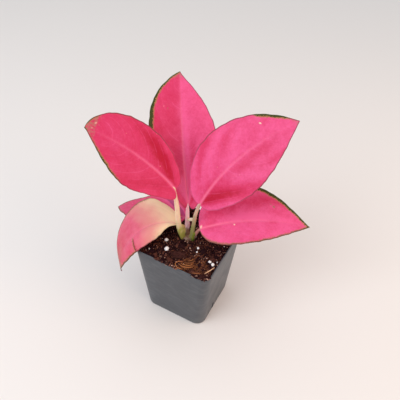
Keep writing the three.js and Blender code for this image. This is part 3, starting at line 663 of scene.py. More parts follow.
# Big clods of peat: middle, size along and across, height, turn in degrees and tone.
CLODS = [
    (1, -25.5, 17, 9, 6.5, 15, 0.3), (-5, -35.5, 8, 6, 5, -20, 0.4), (27, -38.5, 13, 5.5, 5, 10, 0.45),
    (-27, -34, 7, 5, 4, 40, 0.15), (21, -9, 8, 6, 5, 70, 0.05), (33, -19, 6, 5, 4, 0, 0.1),
    (-2, -14, 8, 5, 4, 30, 0.2), (36, -41, 7, 4, 4, 30, 0.25),
]


def make_clods(soil, material):
    """The biggest clods of peat, half sunk in the mix."""
    for number, (x, y, wide, deep, high, turn, tone) in enumerate(CLODS, 1):
        centre = Vector((x, y, soil_height(soil, x, y) + 0.1 * high)) * MM
        size = Vector((wide, deep, high)) * MM
        mesh = rough_lump("peat_clod", centre, size, math.radians(turn), relief=0.42, detail=4)
        paint(mesh, "tone", [tone] * len(mesh.vertices))
        new_piece(f"peat_clod_{number}", mesh, material, sharp=180)


# Loose crumbs: how dry most of them are, their least size and the mean growth on top of it, and the largest
# damp and the largest dry ones, in millimetres.
CRUMB_TONES = (0, 0, 0, 0.15, 0.3, 0.45)
LEAST_CRUMB = 0.35
CRUMB_GROWTH = 0.4
LARGEST_DAMP = 2.3
LARGEST_DRY = 0.9

# Crumbs lying on the front of the rim: how many, where the front is, and the stretches of X they lie along.
SPILLED = 260
RIM_FRONT = -38
SPILLS = [(-18, 9), (26, 43)]


def plain_clod():
    """The points and the faces of a round clod of radius 1."""
    work = bmesh.new()
    bmesh.ops.create_icosphere(work, subdivisions=1, radius=1)
    points = [v.co.copy() for v in work.verts]
    faces = [tuple(v.index for v in f.verts) for f in work.faces]
    work.free()
    return points, faces


def make_crumbs(soil, pot, material):
    """Loose crumbs of mix, each a rough clod pressed a little into the surface, some spilled on the rim."""
    draw = random.Random(11)
    clod, clod_faces = plain_clod()
    points, faces, tones = [], [], []
    rim = pot_section(pot, pot.height / MM, pot.wall / MM / 2, corner_steps=60, wall_steps=400)
    spilled = [p for p in rim if p.y < RIM_FRONT and any(low < p.x < high for low, high in SPILLS)]
    for crumb in range(soil.crumbs):
        # the driest crumbs turn tan, partly as painted glints of water
        dryness_and_glint = draw.choice((*CRUMB_TONES, draw.uniform(0.5, 1.5)))
        largest = LARGEST_DAMP if dryness_and_glint < 0.5 else LARGEST_DRY
        size = min(LEAST_CRUMB + draw.expovariate(1 / CRUMB_GROWTH), largest)
        if crumb < SPILLED:
            size = draw.uniform(0.5, 1.5)
            place = draw.choice(spilled)
            x, y, z = place.x, place.y + draw.uniform(-0.5, 0.9), place.z + draw.uniform(-0.8, 0.3)
        else:
            x, y, z = scattered(soil, draw, size)
        stretch = Vector((draw.uniform(0.7, 1.7), draw.uniform(0.6, 1.2), draw.uniform(0.45, 0.9)))
        turn = Matrix.Rotation(draw.uniform(0, 6.3), 3, "Z")
        turn = turn @ Matrix.Rotation(draw.uniform(-0.6, 0.6), 3, "X")
        first = len(points)
        for p in clod:
            shaped = Vector(a * b for a, b in zip(p, stretch)) * size * draw.uniform(0.7, 1.25)
            points.append(turn @ shaped + Vector((x, y, z + 0.15 * size)))
        faces += [tuple(first + i for i in f) for f in clod_faces]
        clouded = noise.fractal(Vector((x, y, 20)) / 2.8, 0.8, 2, 3)
        dryness_and_glint += 0.25 * near_any(x, y, DRY_CLODS) + 0.25 * clouded
        tones += [dryness_and_glint] * len(clod)
    mesh = mesh_of("soil_crumbs", points, faces)
    paint(mesh, "tone", tones)
    new_piece("soil_crumbs", mesh, material, sharp=60)


# Single strands that stand out: a straw, a curled husk on the rim and strips of husk beside it. Each has its
# path, its radius and its tone.
STRANDS = [
    ([(36.6, -36.4, 98.4), (38.9, -31.2, 98.2), (41.6, -24.4, 98.2)], 0.5, 2.2),
    ([(10, -33.5, 97.5), (5.4, -36, 98.2), (4.6, -40, 98.8), (9, -43.4, 98.9), (14.5, -42.8, 98.8)],
     0.45, 0.7),
    ([(8, -38, 97.6), (12.5, -39.4, 98.4), (18, -37.8, 98.2), (22, -33.5, 97.2)], 0.8, 0.45),
    ([(9, -36, 97.4), (13, -36.8, 98.6), (18, -34.6, 98.2), (20, -31.5, 97)], 0.6, 0.6),
    ([(11, -33.8, 97), (15, -33, 98), (19, -29.6, 97.6), (19.5, -25.5, 96.6)], 0.5, 0.35),
    ([(13, -29.5, 96.6), (16, -28, 97.2), (17.4, -23.5, 96.6)], 0.4, 0.6),
    ([(25, -41.5, 98.2), (29, -40.6, 98.8), (33, -37.5, 98.4)], 0.4, 0.5),
]


def make_fibres(soil):
    """Coir fibres: thin bent threads, thickest at the front corner of the pot."""
    draw = random.Random(5)
    sides, steps = 5, 9
    points, faces, tones = [], [], []

    def add_strand(path, radius, tone):
        first = len(points)
        for i, p in enumerate(path):
            ahead = (path[min(i + 1, steps)] - path[max(i - 1, 0)]).normalized()
            across = ahead.cross(Vector((0, 0, 1))).normalized()
            over = across.cross(ahead)
            girth = radius * (1 - 0.5 * abs(2 * i / steps - 1) ** 3)
            for k in range(sides):
                angle = 2 * math.pi * k / sides
                points.append(p + (across * math.cos(angle) + over * math.sin(angle)) * girth)
        for i in range(steps):
            for k in range(sides):
                a, b = first + i * sides + k, first + i * sides + (k + 1) % sides
                faces.append((a, b, b + sides, a + sides))
        faces.append(tuple(range(first, first + sides))[::-1])
        faces.append(tuple(range(first + steps * sides, first + (steps + 1) * sides)))
        tones.extend([tone] * (sides * (steps + 1)))

    for path, radius, tone in STRANDS:
        add_strand([Vector(p) for p in smooth_path(path, steps)], radius, tone)
    tried = 0
    while tried < soil.fibres:
        x, y, _ = scattered(soil, draw, 1.5)
        nest = near_any(x, y, COIR_NESTS)
        if draw.random() > 0.1 + nest:
            continue
        tried += 1
        span, radius = draw.uniform(3, 13), draw.uniform(0.1, 0.2 + 0.12 * nest)
        way, bend = draw.uniform(0, 6.3), draw.uniform(-0.2, 0.2)
        if nest > 0.4:
            way = COIR_WAY + draw.uniform(-0.6, 0.6)
        lift = draw.uniform(0.2, 1.1)
        path = [Vector((x, y, 0))]
        for _ in range(steps):
            way += bend + draw.uniform(-0.12, 0.12)
            path.append(path[-1] + Vector((math.cos(way), math.sin(way), 0)) * span / steps)
        if not all(inside_pot(p.x, p.y, 1.2) for p in path):
            continue
        for i, p in enumerate(path):
            p.z = lumpy_height(soil, p.x, p.y) + 0.35 + lift * math.sin(math.pi * i / steps)
        add_strand(path, radius, (0.2 + 0.6 * nest) * draw.random() ** 1.4)
    mesh = mesh_of("coir_fibres", points, faces)
    paint(mesh, "tone", tones)
    new_piece("coir_fibres", mesh, coir(soil), sharp=80)


# ---- perlite and bark ----

# How many grains of fine perlite lie on the soil, and the bark chip's size and turn from +X.
DUST_GRAINS = 46
BARK_SIZE = Vector((10, 8.4, 4.6))
BARK_TURN = math.radians(35)


def expanded_perlite(soil):
    """Perlite, popped by heat: a white foam of glass, matt, full of pores, drawn coarser than they are."""
    pore_size = 0.6
    material, tree, shader = new_material("expanded_perlite", 0.85, Specular_IOR_Level=0.3)
    foam = {"Vector": place_in_mm(tree), "Scale": 1 / pore_size, "Detail": 3, "Roughness": 0.7}
    pores = put(tree, "TexNoise", foam)
    tone = lay_over(tree, soil.pore, soil.perlite, pores, 0.3, 0.5)
    bump = put(tree, "Bump", {"Height": pores, "Strength": 0.5, "Distance": 0.2 * MM})
    feed(tree, shader, Base_Color=tone, Normal=bump)
    return material


def rough_lump(name, centre, size, turn, relief, detail, ridges=(1, 1, 1)):
    """A lump that fills a box, roughened by noise; ridges stretches the noise along the lump."""
    work = bmesh.new()
    bmesh.ops.create_icosphere(work, subdivisions=detail, radius=0.5)
    spin = Matrix.Rotation(turn, 3, "Z")
    for vertex in work.verts:
        p = vertex.co.copy()
        seat = Vector(a * b * 4 for a, b in zip(p, ridges)) + centre / MM * 0.37
        swell = 1 + relief * noise.fractal(seat, 0.6, 2.2, 4)
        vertex.co = centre + spin @ Vector(a * b * swell for a, b in zip(p, size))
    return mesh_from(work, name)


def make_perlite(soil):
    """Each grain of perlite in its place, and small dust of it scattered on the soil."""
    material = expanded_perlite(soil)
    for node in sorted(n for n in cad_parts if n.startswith("perlite_")):
        low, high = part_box(node)
        detail = 4 if high.x - low.x > 3 * MM else 3
        size = (high - low) * 0.95
        mesh = rough_lump(node, (low + high) / 2, size, turn=0, relief=0.16, detail=detail)
        new_piece(node.replace("perlite", "perlite_grain"), mesh, material, [node], sharp=180)
    draw = random.Random(23)
    clod, clod_faces = plain_clod()
    points, faces = [], []
    for _ in range(DUST_GRAINS):
        x, y, z = scattered(soil, draw, 1.5)
        size = draw.uniform(0.2, 0.55)
        first = len(points)
        points += [Vector((x, y, z + 0.25)) + p * size * draw.uniform(0.7, 1.2) for p in clod]
        faces += [tuple(first + i for i in f) for f in clod_faces]
    new_piece("perlite_dust", mesh_of("perlite_dust", points, faces), material, sharp=60)


def weathered_bark(soil):
    """Composted bark, weathered: fibrous ridges along the grain, matt brown."""
    along, across = 5 * MM, 10 / 9 * MM
    material, tree, shader = new_material("weathered_bark", 0.85, Specular_IOR_Level=0.25)
    place = put(tree, "TexCoord", {}, "Object")
    grain = (1 / along, 1 / across, 1 / across)
    turned = put(tree, "Mapping", {"Vector": place, "Rotation": (0, 0, -BARK_TURN), "Scale": grain})
    ridges = put(tree, "TexNoise", {"Vector": turned, "Scale": 1, "Detail": 5, "Roughness": 0.65})
    tone = lay_over(tree, soil.groove, soil.bark, ridges, 0.35, 0.65)
    bump = put(tree, "Bump", {"Height": ridges, "Strength": 0.8, "Distance": 0.6 * MM})
    feed(tree, shader, Base_Color=tone, Normal=bump)
    return material


def make_bark(soil):
    """One chip of bark lying flat in front of the crown."""
    low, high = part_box("bark_chip")
    centre, size = (low + high) / 2, BARK_SIZE * MM
    mesh = rough_lump("bark", centre, size, BARK_TURN, relief=0.3, detail=5, ridges=(0.6, 2, 2))
    new_piece("bark", mesh, weathered_bark(soil), ["bark_chip"], sharp=180)


# ---- leaf blades ----

# Half widths of a blade at its stalk and its tip, and the share of its length at which its lobes are longest.
STALK_WIDTH = 1.6
TIP_WIDTH = 0.5
LOBE_PLACE = 0.07

# The waves in the margin: how many along a blade, and their height in millimetres.
MARGIN_WAVES = [(7, 0.2), (11, 0.14), (18, 0.08)]

# How the side veins run, as shares of the blade's length: they lean towards the tip, sweep further the
# nearer they are to the margin, and are staggered from one half to the other.
VEIN_LEAN = 0.06
VEIN_SWEEP = 0.42
VEIN_BEND = 2.2
VEIN_STAGGER = 0.04

# Reach of the channel over the midrib and of the rib below it, to each side.
CHANNEL_REACH = 1.1
RIB_REACH = 1.5

# How finely a blade is made: steps along its midrib, rows along it, and columns across each half. A flat half
# is taken as curled by this least angle, in radians.
RIB_STEPS = 48
BLADE_ROWS = 170
BLADE_COLUMNS = 30
LEAST_CURL = 1e-4


def blade_axes(leaf, u):
    """The ways along the midrib, to the right and up from the blade, at shares u of its length."""
    u = np.asarray(u, float)
    heading = np.radians(leaf["heading"] + leaf["turn"] * u)
    climb = np.radians(leaf["rise"] + leaf["droop"] * u ** leaf["bend"])
    roll = np.radians(leaf["roll"] + leaf["twist"] * u)[..., None]
    along = np.stack([np.cos(heading) * np.cos(climb), np.sin(heading) * np.cos(climb), np.sin(climb)], -1)
    level = np.stack([np.sin(heading), -np.cos(heading), 0 * heading], -1)
    right = level * np.cos(roll) + np.cross(level, along) * np.sin(roll)
    return along, right, np.cross(right, along)


def midrib_points(leaf, u):
    """The midrib at shares u of its length, and in line with its base below 0."""
    steps = (np.arange(RIB_STEPS) + 0.5) / RIB_STEPS
    walked = np.cumsum(blade_axes(leaf, steps)[0], 0) * leaf["length"] / RIB_STEPS
    points = np.vstack([np.zeros(3), walked]) + leaf["base"]
    shares = np.linspace(0, 1, RIB_STEPS + 1)
    on_rib = np.stack([np.interp(u, shares, points[:, axis]) for axis in range(3)], -1)
    return on_rib + np.minimum(u, 0)[..., None] * blade_axes(leaf, 0)[0] * leaf["length"]


def blade_points(leaf, blades, u, v):
    """The blade's middle surface at shares u along and v across, its normals, and what is painted on it."""
    side = np.where(v < 0, -1.0, 1.0)
    across = np.abs(v)

    def of_half(name):
        return np.where(v < 0, leaf[name][0], leaf[name][1])

    widest, point = of_half("widest"), of_half("point")
    share = (u / widest) ** (point * widest / (1 - widest)) * ((1 - u) / (1 - widest)) ** point
    width = np.hypot(of_half("half") * share, STALK_WIDTH + (TIP_WIDTH - STALK_WIDTH) * u)
    off_ends = np.minimum(1, 2 * share)
    for waves, reach in MARGIN_WAVES:
        width += reach * np.sin(2 * np.pi * (waves * u + leaf["phase"] * waves + 0.3 * side)) * off_ends
    lobe = u / LOBE_PLACE
    shift = u - of_half("lobe") * lobe * np.exp(1 - lobe) * across ** leaf["sinus"] / leaf["length"]
    _, right, up = blade_axes(leaf, np.maximum(shift, 0))
    fold = math.radians(leaf["fold"])
    curl = np.radians(of_half("curl")) * (1 - u ** 4)
    curl = np.where(np.abs(curl) < LEAST_CURL, LEAST_CURL, curl)
    slope = fold + curl * across
    sideways = side * width * (np.sin(slope) - math.sin(fold)) / curl
    lift = width * (math.cos(fold) - np.cos(slope)) / curl
    ripple = np.sin(2 * np.pi * (leaf["waves"] * u + leaf["phase"] + 0.25 * side))
    lift += leaf["wave"] * ripple * across ** 2 * np.minimum(1, 1.5 * share)
    root = u - (VEIN_LEAN * across + VEIN_SWEEP * across ** VEIN_BEND) * (1 - 0.35 * u)
    vein = blades.veins * (root + VEIN_STAGGER * (side < 0))
    # each half's tone, which with the patches below is partly the leaf's own tint and partly painted light
    # and shade
    low, high = leaf["tone"]
    flat = low + (high - low) * (0.5 + 0.5 * np.tanh((v + 0.04) / 0.1))
    tone = flat
    for place, out, reach, spread, lighter in leaf["patches"]:
        tone = tone + lighter * np.exp(-((root - place) / reach) ** 2 - ((v - out) / spread) ** 2)
    inner = off_ends * np.sin(np.pi * across ** 0.8) * (1 - u ** 3)
    raised = np.clip(tone - flat, -1, 1)
    lift += inner * (blades.quilt / MM * np.abs(np.sin(np.pi * vein)) ** 0.7 + blades.swell / MM * raised)
    from_rib = across * width
    points = midrib_points(leaf, shift) + right * sideways[..., None] + up * lift[..., None]
    normals = up * np.cos(slope)[..., None] - right * (side * np.sin(slope))[..., None]
    green = np.where(v < 0, np.interp(u, *zip(*leaf["green"][0])), np.interp(u, *zip(*leaf["green"][1])))
    faded, change, least = leaf["pale"]
    pale = np.clip(faded + change * (u + 0.3 * root), least, 1)
    dry = np.interp(u, *zip(*leaf["dry"]))
    mark = 0 * u
    for place, out, reach, shade in leaf["marks"]:
        far = np.hypot((u - place) * leaf["length"], (v - out) * width)
        mark = mark + shade * np.exp(-(far / reach) ** 2)
    painted = dict(
        vein=vein, from_rib=from_rib, from_edge=width - from_rib, green=green, tone=tone, pale=pale, dry=dry,
        mark=mark, along=u,
    )
    return points, normals, painted


def creased(leaf, points, normals, painted, u, v):
    """Lets the outer part of a blade ride over its inner part, from a crease that starts near the midrib."""
    (start, out), (end, edge) = CREASE["start"], CREASE["end"]
    share = np.clip((v - out) / (edge - out), 0, 1)
    beyond = (u - start - (end - start) * share) * leaf["length"]
    along, _, _ = blade_axes(leaf, u)
    open_to = np.sqrt(share) * np.exp(-np.maximum(beyond, 0) / CREASE["open"]) * (beyond > 0)
    tucked = share * np.exp(np.minimum(beyond, 0) / CREASE["tuck"]) * (beyond <= 0)
    move = -along * (CREASE["over"] * open_to)[..., None]
    move += normals * (CREASE["rise"] * (open_to - 0.5 * tucked))[..., None]
    # the fold is drawn with the edge's green band and dark rim, partly the tucked edge and partly painted
    # shadow in the fold
    near = np.where((beyond > 0) & (share > 0.02), beyond, 3 * CREASE["lined"])
    painted["from_edge"] = np.minimum(painted["from_edge"], near)
    painted["green"] = np.where(near < CREASE["lined"], 0.9, painted["green"])
    return points + move


def make_blade(name, leaf, blades, material):
    """One blade as a thin closed sheet with a rounded edge, a channel over its midrib and a rib below."""
    t = np.linspace(0, 1, BLADE_ROWS)
    u = t - 0.6 * np.sin(2 * np.pi * t) / (2 * np.pi)
    j = np.linspace(-1, 1, 2 * BLADE_COLUMNS + 1)
    u, v = np.meshgrid(np.clip(u, 1e-5, 1 - 1e-5), np.sign(j) * np.abs(j) ** 1.15, indexing="ij")
    points, normals, painted = blade_points(leaf, blades, u, v)
    if name == PALE_LEAF:
        points = creased(leaf, points, normals, painted, u, v)
    half = (blades.thickness + (blades.margin - blades.thickness) * np.abs(v)) / MM / 2
    groove = blades.channel / MM * (1 - u) ** 0.7 * np.exp(-(painted["from_rib"] / CHANNEL_REACH) ** 2)
    rib = RIB_DEPTH * (1 - u) * np.exp(-(painted["from_rib"] / RIB_REACH) ** 2)
    top = points + normals * (half - groove)[..., None]
    bottom = points - normals * (half + rib)[..., None]
    outwards = top[:, [0, -1]] + bottom[:, [0, -1]] - points[:, [1, -2]] * 2
    outwards /= np.linalg.norm(outwards, axis=-1, keepdims=True)
    edge = (top[:, [0, -1]] + bottom[:, [0, -1]]) / 2 + outwards * blades.margin / MM / 2
    mesh = loft(name, np.concatenate([top, edge[:, 1:], bottom[:, ::-1], edge[:, :1]], 1))
    for key, value in painted.items():
        paint(mesh, key, np.concatenate([value, value[:, -1:], value[:, ::-1], value[:, :1]], 1))
    at_edge = 0.5 + 0 * u[:, :1]
    paint(mesh, "under", np.concatenate([0 * u, at_edge, 1 + 0 * u, at_edge], 1))
    new_piece(name + "_blade", mesh, material, [name], sharp=50)


# What is painted on a blade, and the noises over its skin: broad clouds, a middling and a fine mottle, the
# raggedness of the green edge and sparse specks, each with its size in millimetres, detail and roughness.
PAINTED = ("vein", "along", "tone", "from_rib", "from_edge", "green", "pale", "dry", "mark", "under")
LEAF_NOISES = [(14, 4, 0.6), (5, 3, 0.6), (1.8, 3, 0.6), (1.7, 4, 0.75), (2.6, 1, 0.5)]


def leaf_skin(name, blades, vein_strength):
    """A living leaf, waxy: hot pink flesh over paler veins, breaking into olive and dark green at its edge.
    The wax gives a soft sheen, and thin flesh lets a little light through."""
    material, tree, shader = new_material(
        name, 0.5, Specular_IOR_Level=0.2, Subsurface_Weight=0.12, Subsurface_Radius=(1, 0.35, 0.3),
        Subsurface_Scale=1.2 * MM,
    )
    place = place_in_mm(tree)
    broad, middling, fine, ragged, specks = (
        put(tree, "TexNoise", {"Vector": place, "Scale": 1 / size, "Detail": detail, "Roughness": rough})
        for size, detail, rough in LEAF_NOISES
    )
    vein, along, tone, from_rib, from_edge, green, pale, dry, mark, under = (
        put(tree, "Attribute", {}, "Fac", attribute_name=painted) for painted in PAINTED
    )

    # the flesh goes from crimson through pink to light pink, in soft clouds and a fine mottle; its deepest
    # and lightest tones are partly painted shade and painted sheen, the violet is painted shade where a young
    # blade is hidden, and the near black is a painted shadow in the fold beside the stalk
    clouds = put(tree, "Math", {0: broad, 1: 0.7, 2: -0.35}, operation="MULTIPLY_ADD")
    mottle = put(tree, "Math", {0: fine, 1: middling})
    mottle = put(tree, "Math", {0: mottle, 1: 0.55, 2: -0.55}, operation="MULTIPLY_ADD")
    mottle = put(tree, "Math", {0: clouds, 1: mottle})
    tone = put(tree, "Math", {0: tone, 1: mottle})
    skin = lay_over(tree, blades.crimson, blades.pink, tone, -0.6, 0.25)
    skin = lay_over(tree, skin, blades.light, tone, 0.1, 1.2)
    skin = lay_over(tree, skin, blades.shade_violet, tone, 1.45, 1.95)
    skin = lay_over(tree, skin, blades.shade, tone, -0.9, -1.6)

    # an old blade fades through salmon to cream towards its stalk
    fade = put(tree, "Math", {0: clouds, 1: 0.4, 2: pale}, operation="MULTIPLY_ADD")
    skin = lay_over(tree, skin, blades.salmon, fade, 0.02, 0.5)
    skin = lay_over(tree, skin, blades.cream, fade, 0.45, 1)

    # paler veins: the side veins, which fade in places, finer ones between them, and the midrib
    bent = put(tree, "Math", {0: clouds, 1: 0.5, 2: vein}, operation="MULTIPLY_ADD")
    near_side = put(tree, "Math", {0: bent, 1: 0.5}, operation="PINGPONG")
    side = put(tree, "MapRange", {0: near_side, 1: 0.06, 2: 0.01, 4: 0.35}, **SOFT)
    shown = put(tree, "MapRange", {0: broad, 1: 0.35, 2: 0.6}, **SOFT)
    side = put(tree, "Math", {0: side, 1: shown}, operation="MULTIPLY")
    wander = put(tree, "Math", {0: vein, 1: 5, 2: fine}, operation="MULTIPLY_ADD")
    near_fine = put(tree, "Math", {0: wander, 1: 0.5}, operation="PINGPONG")
    finer = put(tree, "MapRange", {0: near_fine, 1: 0.14, 2: 0, 4: 0.1}, **SOFT)
    lines = put(tree, "Math", {0: side, 1: finer}, operation="MAXIMUM")
    lines = put(tree, "Math", {0: lines, 1: vein_strength}, operation="MULTIPLY")
    skin = put(tree, "Mix", {0: lines, 6: skin, 7: blades.light}, 2, data_type="RGBA")
    # the midrib, brightened beyond its own paleness as painted light over the shade of its channel
    strength = put(tree, "MapRange", {0: along, 1: 0.9, 2: 0.1, 3: 0.05, 4: 0.65})
    skin = lay_over(tree, skin, blades.midrib, from_rib, 2.6, 0, within=(strength, vein_strength))

    # flecks of dry tissue
    flecked = put(tree, "Math", {0: fine, 1: 1.6, 2: dry}, operation="MULTIPLY_ADD")
    has_dry = put(tree, "MapRange", {0: dry, 1: 0, 2: 0.15})
    skin = lay_over(tree, skin, blades.dry, flecked, 1.1, 1.6, most=0.8, within=[has_dry])

    # the edge: a thin dark line all round, and where it is green, orange flecks inside a ragged green band
    ragged = put(tree, "Math", {0: ragged, 1: 7, 2: -3.5}, operation="MULTIPLY_ADD")
    inside = put(tree, "Math", {0: green, 1: from_edge}, operation="SUBTRACT")
    inside = put(tree, "Math", {0: inside, 1: ragged})
    has_green = put(tree, "MapRange", {0: green, 1: 0.5, 2: 1.2})
    past_base = put(tree, "MapRange", {0: along, 1: 0.15, 2: 0.5, 3: 0.3})
    skin = lay_over(tree, skin, blades.fringe, inside, -1.7, -0.9, within=[has_green])
    skin = lay_over(tree, skin, blades.rim, from_edge, 1.1, 0.4, most=0.85, within=[past_base])
    skin = lay_over(tree, skin, blades.green, inside, -0.5, 0.1, within=[has_green])

    # a few pale specks, and single cream and olive marks
    skin = lay_over(tree, skin, blades.speck, specks, 0.8, 0.83, most=0.6)
    skin = lay_over(tree, skin, blades.cream_mark, mark, 0.1, 0.8)
    skin = lay_over(tree, skin, blades.olive_mark, mark, -0.1, -0.8)

    dull = put(tree, "Mix", {0: 0.3, 6: skin, 7: blades.underside}, 2, data_type="RGBA")
    skin = put(tree, "Mix", {0: under, 6: skin, 7: dull}, 2, data_type="RGBA")
    waxed = put(tree, "MapRange", {0: fine, 1: 0.2, 2: 0.8, 3: 0.44, 4: 0.58})
    relief = put(tree, "Math", {0: lines, 1: -0.5, 2: fine}, operation="MULTIPLY_ADD")
    bump = put(tree, "Bump", {"Height": relief, "Strength": 0.2, "Distance": 0.25 * MM})
    feed(tree, shader, Base_Color=skin, Roughness=waxed, Normal=bump)
    return material


def make_blades(blades, names, material):
    for name in names:
        make_blade(name, LEAVES[name], blades, material)


# ---- stem ----

def smooth_path(points, steps):
    """Points along a centripetal Catmull-Rom curve, in equal steps of its length."""
    finer = 24
    points = [Vector(p) for p in points]
    points = [points[0] * 2 - points[1], *points, points[-1] * 2 - points[-2]]
    fine = []
    for p0, p1, p2, p3 in zip(points, points[1:], points[2:], points[3:]):
        knots = [0.0]
        for a, b in ((p0, p1), (p1, p2), (p2, p3)):
            knots.append(knots[-1] + math.sqrt((b - a).length))
        t0, t1, t2, t3 = knots
        for i in range(finer):
            t = t1 + (t2 - t1) * i / finer
            a1 = p0.lerp(p1, (t - t0) / (t1 - t0))
            a2 = p1.lerp(p2, (t - t1) / (t2 - t1))
            a3 = p2.lerp(p3, (t - t2) / (t3 - t2))
            b1 = a1.lerp(a2, (t - t0) / (t2 - t0))
            b2 = a2.lerp(a3, (t - t1) / (t3 - t1))
            fine.append(b1.lerp(b2, (t - t1) / (t2 - t1)))
    fine = np.array([*fine, points[-2]])
    walked = np.concatenate([[0], np.cumsum(np.linalg.norm(np.diff(fine, axis=0), axis=1))])
    at = np.linspace(0, walked[-1], steps + 1)
    return np.stack([np.interp(at, walked, fine[:, axis]) for axis in range(3)], -1)


def stalk_mesh(name, path, radii, inner, groove, flare):
    """A fleshy stalk along a path, with a channel on its inner side and sheath wings low down."""
    sides = 28
    steps = len(path) - 1
    along = np.gradient(path, axis=0)
    along /= np.linalg.norm(along, axis=1, keepdims=True)
    inner = np.asarray(inner, float) - along * (along @ np.asarray(inner, float))[:, None]
    inner /= np.linalg.norm(inner, axis=1, keepdims=True)
    over = np.cross(along, inner)
    share = np.linspace(0, 1, steps + 1)
    girth = np.interp(share, np.linspace(0, 1, len(radii)), radii)
    angle = np.linspace(0, 2 * np.pi, sides, endpoint=False)
    turned = np.abs((angle + np.pi) % (2 * np.pi) - np.pi)
    channel = groove * np.exp(-(turned / 0.5) ** 2)
    wings = flare * ((1 - share) ** 2)[:, None] * np.exp(-((turned - 0.85) / 0.25) ** 2)
    reach = girth[:, None] * (1 - channel + wings)
    rings = (
        path[:, None, :]
        + inner[:, None, :] * (reach * np.cos(angle))[..., None]
        + over[:, None, :] * (reach * np.sin(angle))[..., None]
    )
    mesh = loft(name, rings)
    paint(mesh, "along", np.repeat(share, sides))
    paint(mesh, "edge", np.tile(np.exp(-((turned - 0.75) / 0.3) ** 2), steps + 1))
    return mesh


def stalk_skin(name, stem, foot, top, ripe=(0.15, 0.55)):
    """A leaf stalk, fleshy and smooth: green to yellow at its sheath, cream or pink above, with fine
    lengthwise lines, darker pink along its edges."""
    streak_size, blotch_size = 0.8, 5
    material, tree, shader = new_material(
        name, 0.4, Specular_IOR_Level=0.4, Subsurface_Weight=0.2, Subsurface_Radius=(1, 0.6, 0.3),
        Subsurface_Scale=1.5 * MM,
    )
    place = place_in_mm(tree)
    along, edge = (put(tree, "Attribute", {}, "Fac", attribute_name=painted) for painted in ("along", "edge"))
    stretched = put(tree, "VectorMath", {0: place, 1: (1, 1, 0.08)}, operation="MULTIPLY")
    streak = put(tree, "TexNoise", {"Vector": stretched, "Scale": 1 / streak_size, "Detail": 3})
    blotch = put(tree, "TexNoise", {"Vector": place, "Scale": 1 / blotch_size, "Detail": 3})
    blotch = put(tree, "Math", {0: blotch, 1: 0.5, 2: -0.25}, operation="MULTIPLY_ADD")
    rise = put(tree, "Math", {0: along, 1: blotch})
    flesh = lay_over(tree, foot, top, rise, *ripe)
    flesh = lay_over(tree, flesh, stem.line, streak, 0.5, 0.8, most=0.35)
    flesh = lay_over(tree, flesh, stem.blush, rise, 0.3, 0.8, most=0.4, within=[edge])
    bump = put(tree, "Bump", {"Height": streak, "Strength": 0.25, "Distance": 0.2 * MM})
    feed(tree, shader, Base_Color=flesh, Normal=bump)
    return material


def make_crown(stem):
    """The short oval crown that all the stalks grow from, with rings where old leaves have fallen."""
    sides, steps, rounded_from, round_reach, foot_share, ring_gap = 56, 24, 0.72, 0.28, 0.15, 3.1
    rings = []
    for i in range(steps + 1):
        share = i / steps
        z = CROWN["bottom"] + (CROWN["top"] - CROWN["bottom"]) * share
        into_dome = max(share - rounded_from, 0) / round_reach
        swell = math.sqrt(max(1 - into_dome ** 2, 0)) * 0.98 + 0.02
        swell *= 1 - 0.3 * max(foot_share - share, 0) / foot_share
        ring = []
        for k in range(sides):
            angle = 2 * math.pi * k / sides
            bark = 1 + 0.05 * noise.noise(Vector((3 * math.cos(angle), 3 * math.sin(angle), z / 1.5)))
            bark += 0.025 * math.sin(2 * math.pi * z / ring_gap)
            oval = Vector((CROWN["wide"] * math.cos(angle), CROWN["deep"] * math.sin(angle), 0))
            p = oval * swell * bark * 0.98
            p.rotate(Matrix.Rotation(math.radians(CROWN["turn"]), 3, "Z"))
            ring.append(p + Vector((CROWN["x"], CROWN["y"], z)))
        rings.append(ring)
    mesh = loft("crown", rings)
    height = np.array([v.co.z for v in mesh.vertices]) / MM
    paint(mesh, "along", (height - CROWN["foot"]) / CROWN["fade"])
    paint(mesh, "edge", np.zeros(len(mesh.vertices)))
    skin = stalk_skin("crown_skin", stem, stem.crown_foot, stem.crown_top)
    new_piece("crown", mesh, skin, ["stem"])


def make_stem(stem):
    """Every leaf stalk with its own tint, two short sheaths and the crown."""
    for name, stalk in STALKS.items():
        leaf = LEAVES[name]
        along, _, up = (Vector(axis) for axis in blade_axes(leaf, 0.0))
        dip = math.radians(stalk["dip"])
        base = Vector(leaf["base"])
        end = base - along * 0.5 - up * RIB_DEPTH
        before = end - along * STALK_LEAD * math.cos(dip) - up * STALK_LEAD * math.sin(dip)
        inside = base + along * 1.5 - up * 0.9
        path = smooth_path([stalk["start"], *stalk["via"], before, end, inside], 64)
        radii = [*stalk["radii"], 0.7 * stalk["radii"][-1]]
        piece = "stalk_" + name.replace("leaf_", "")
        mesh = stalk_mesh(piece, path, radii, up, groove=0.22, flare=0.3)
        skin = stalk_skin(piece + "_skin", stem, linear(stalk["foot"]), linear(stalk["top"]), stalk["ripe"])
        new_piece(piece, mesh, skin, ["stem"], sharp=60)
    for name, sheath in SHEATHS.items():
        path = smooth_path([sheath["start"], sheath["end"]], 16)
        mesh = stalk_mesh(name, path, sheath["radii"], (0, 1, 0), groove=0.3, flare=0.1)
        skin = stalk_skin(name + "_skin", stem, linear(sheath["foot"]), linear(sheath["top"]))
        new_piece(name, mesh, skin, ["stem"], sharp=60)
    make_crown(stem)


# ---- stage ----

# The camera that was fitted to the pot's edges in the photograph.
CAMERA_PLACE = Vector((142.2, -273.6, 435.0)) * MM
CAMERA_HEADING = math.radians(25.88)
CAMERA_DOWN = math.radians(42.45)
CAMERA_ROLL = math.radians(3.01)

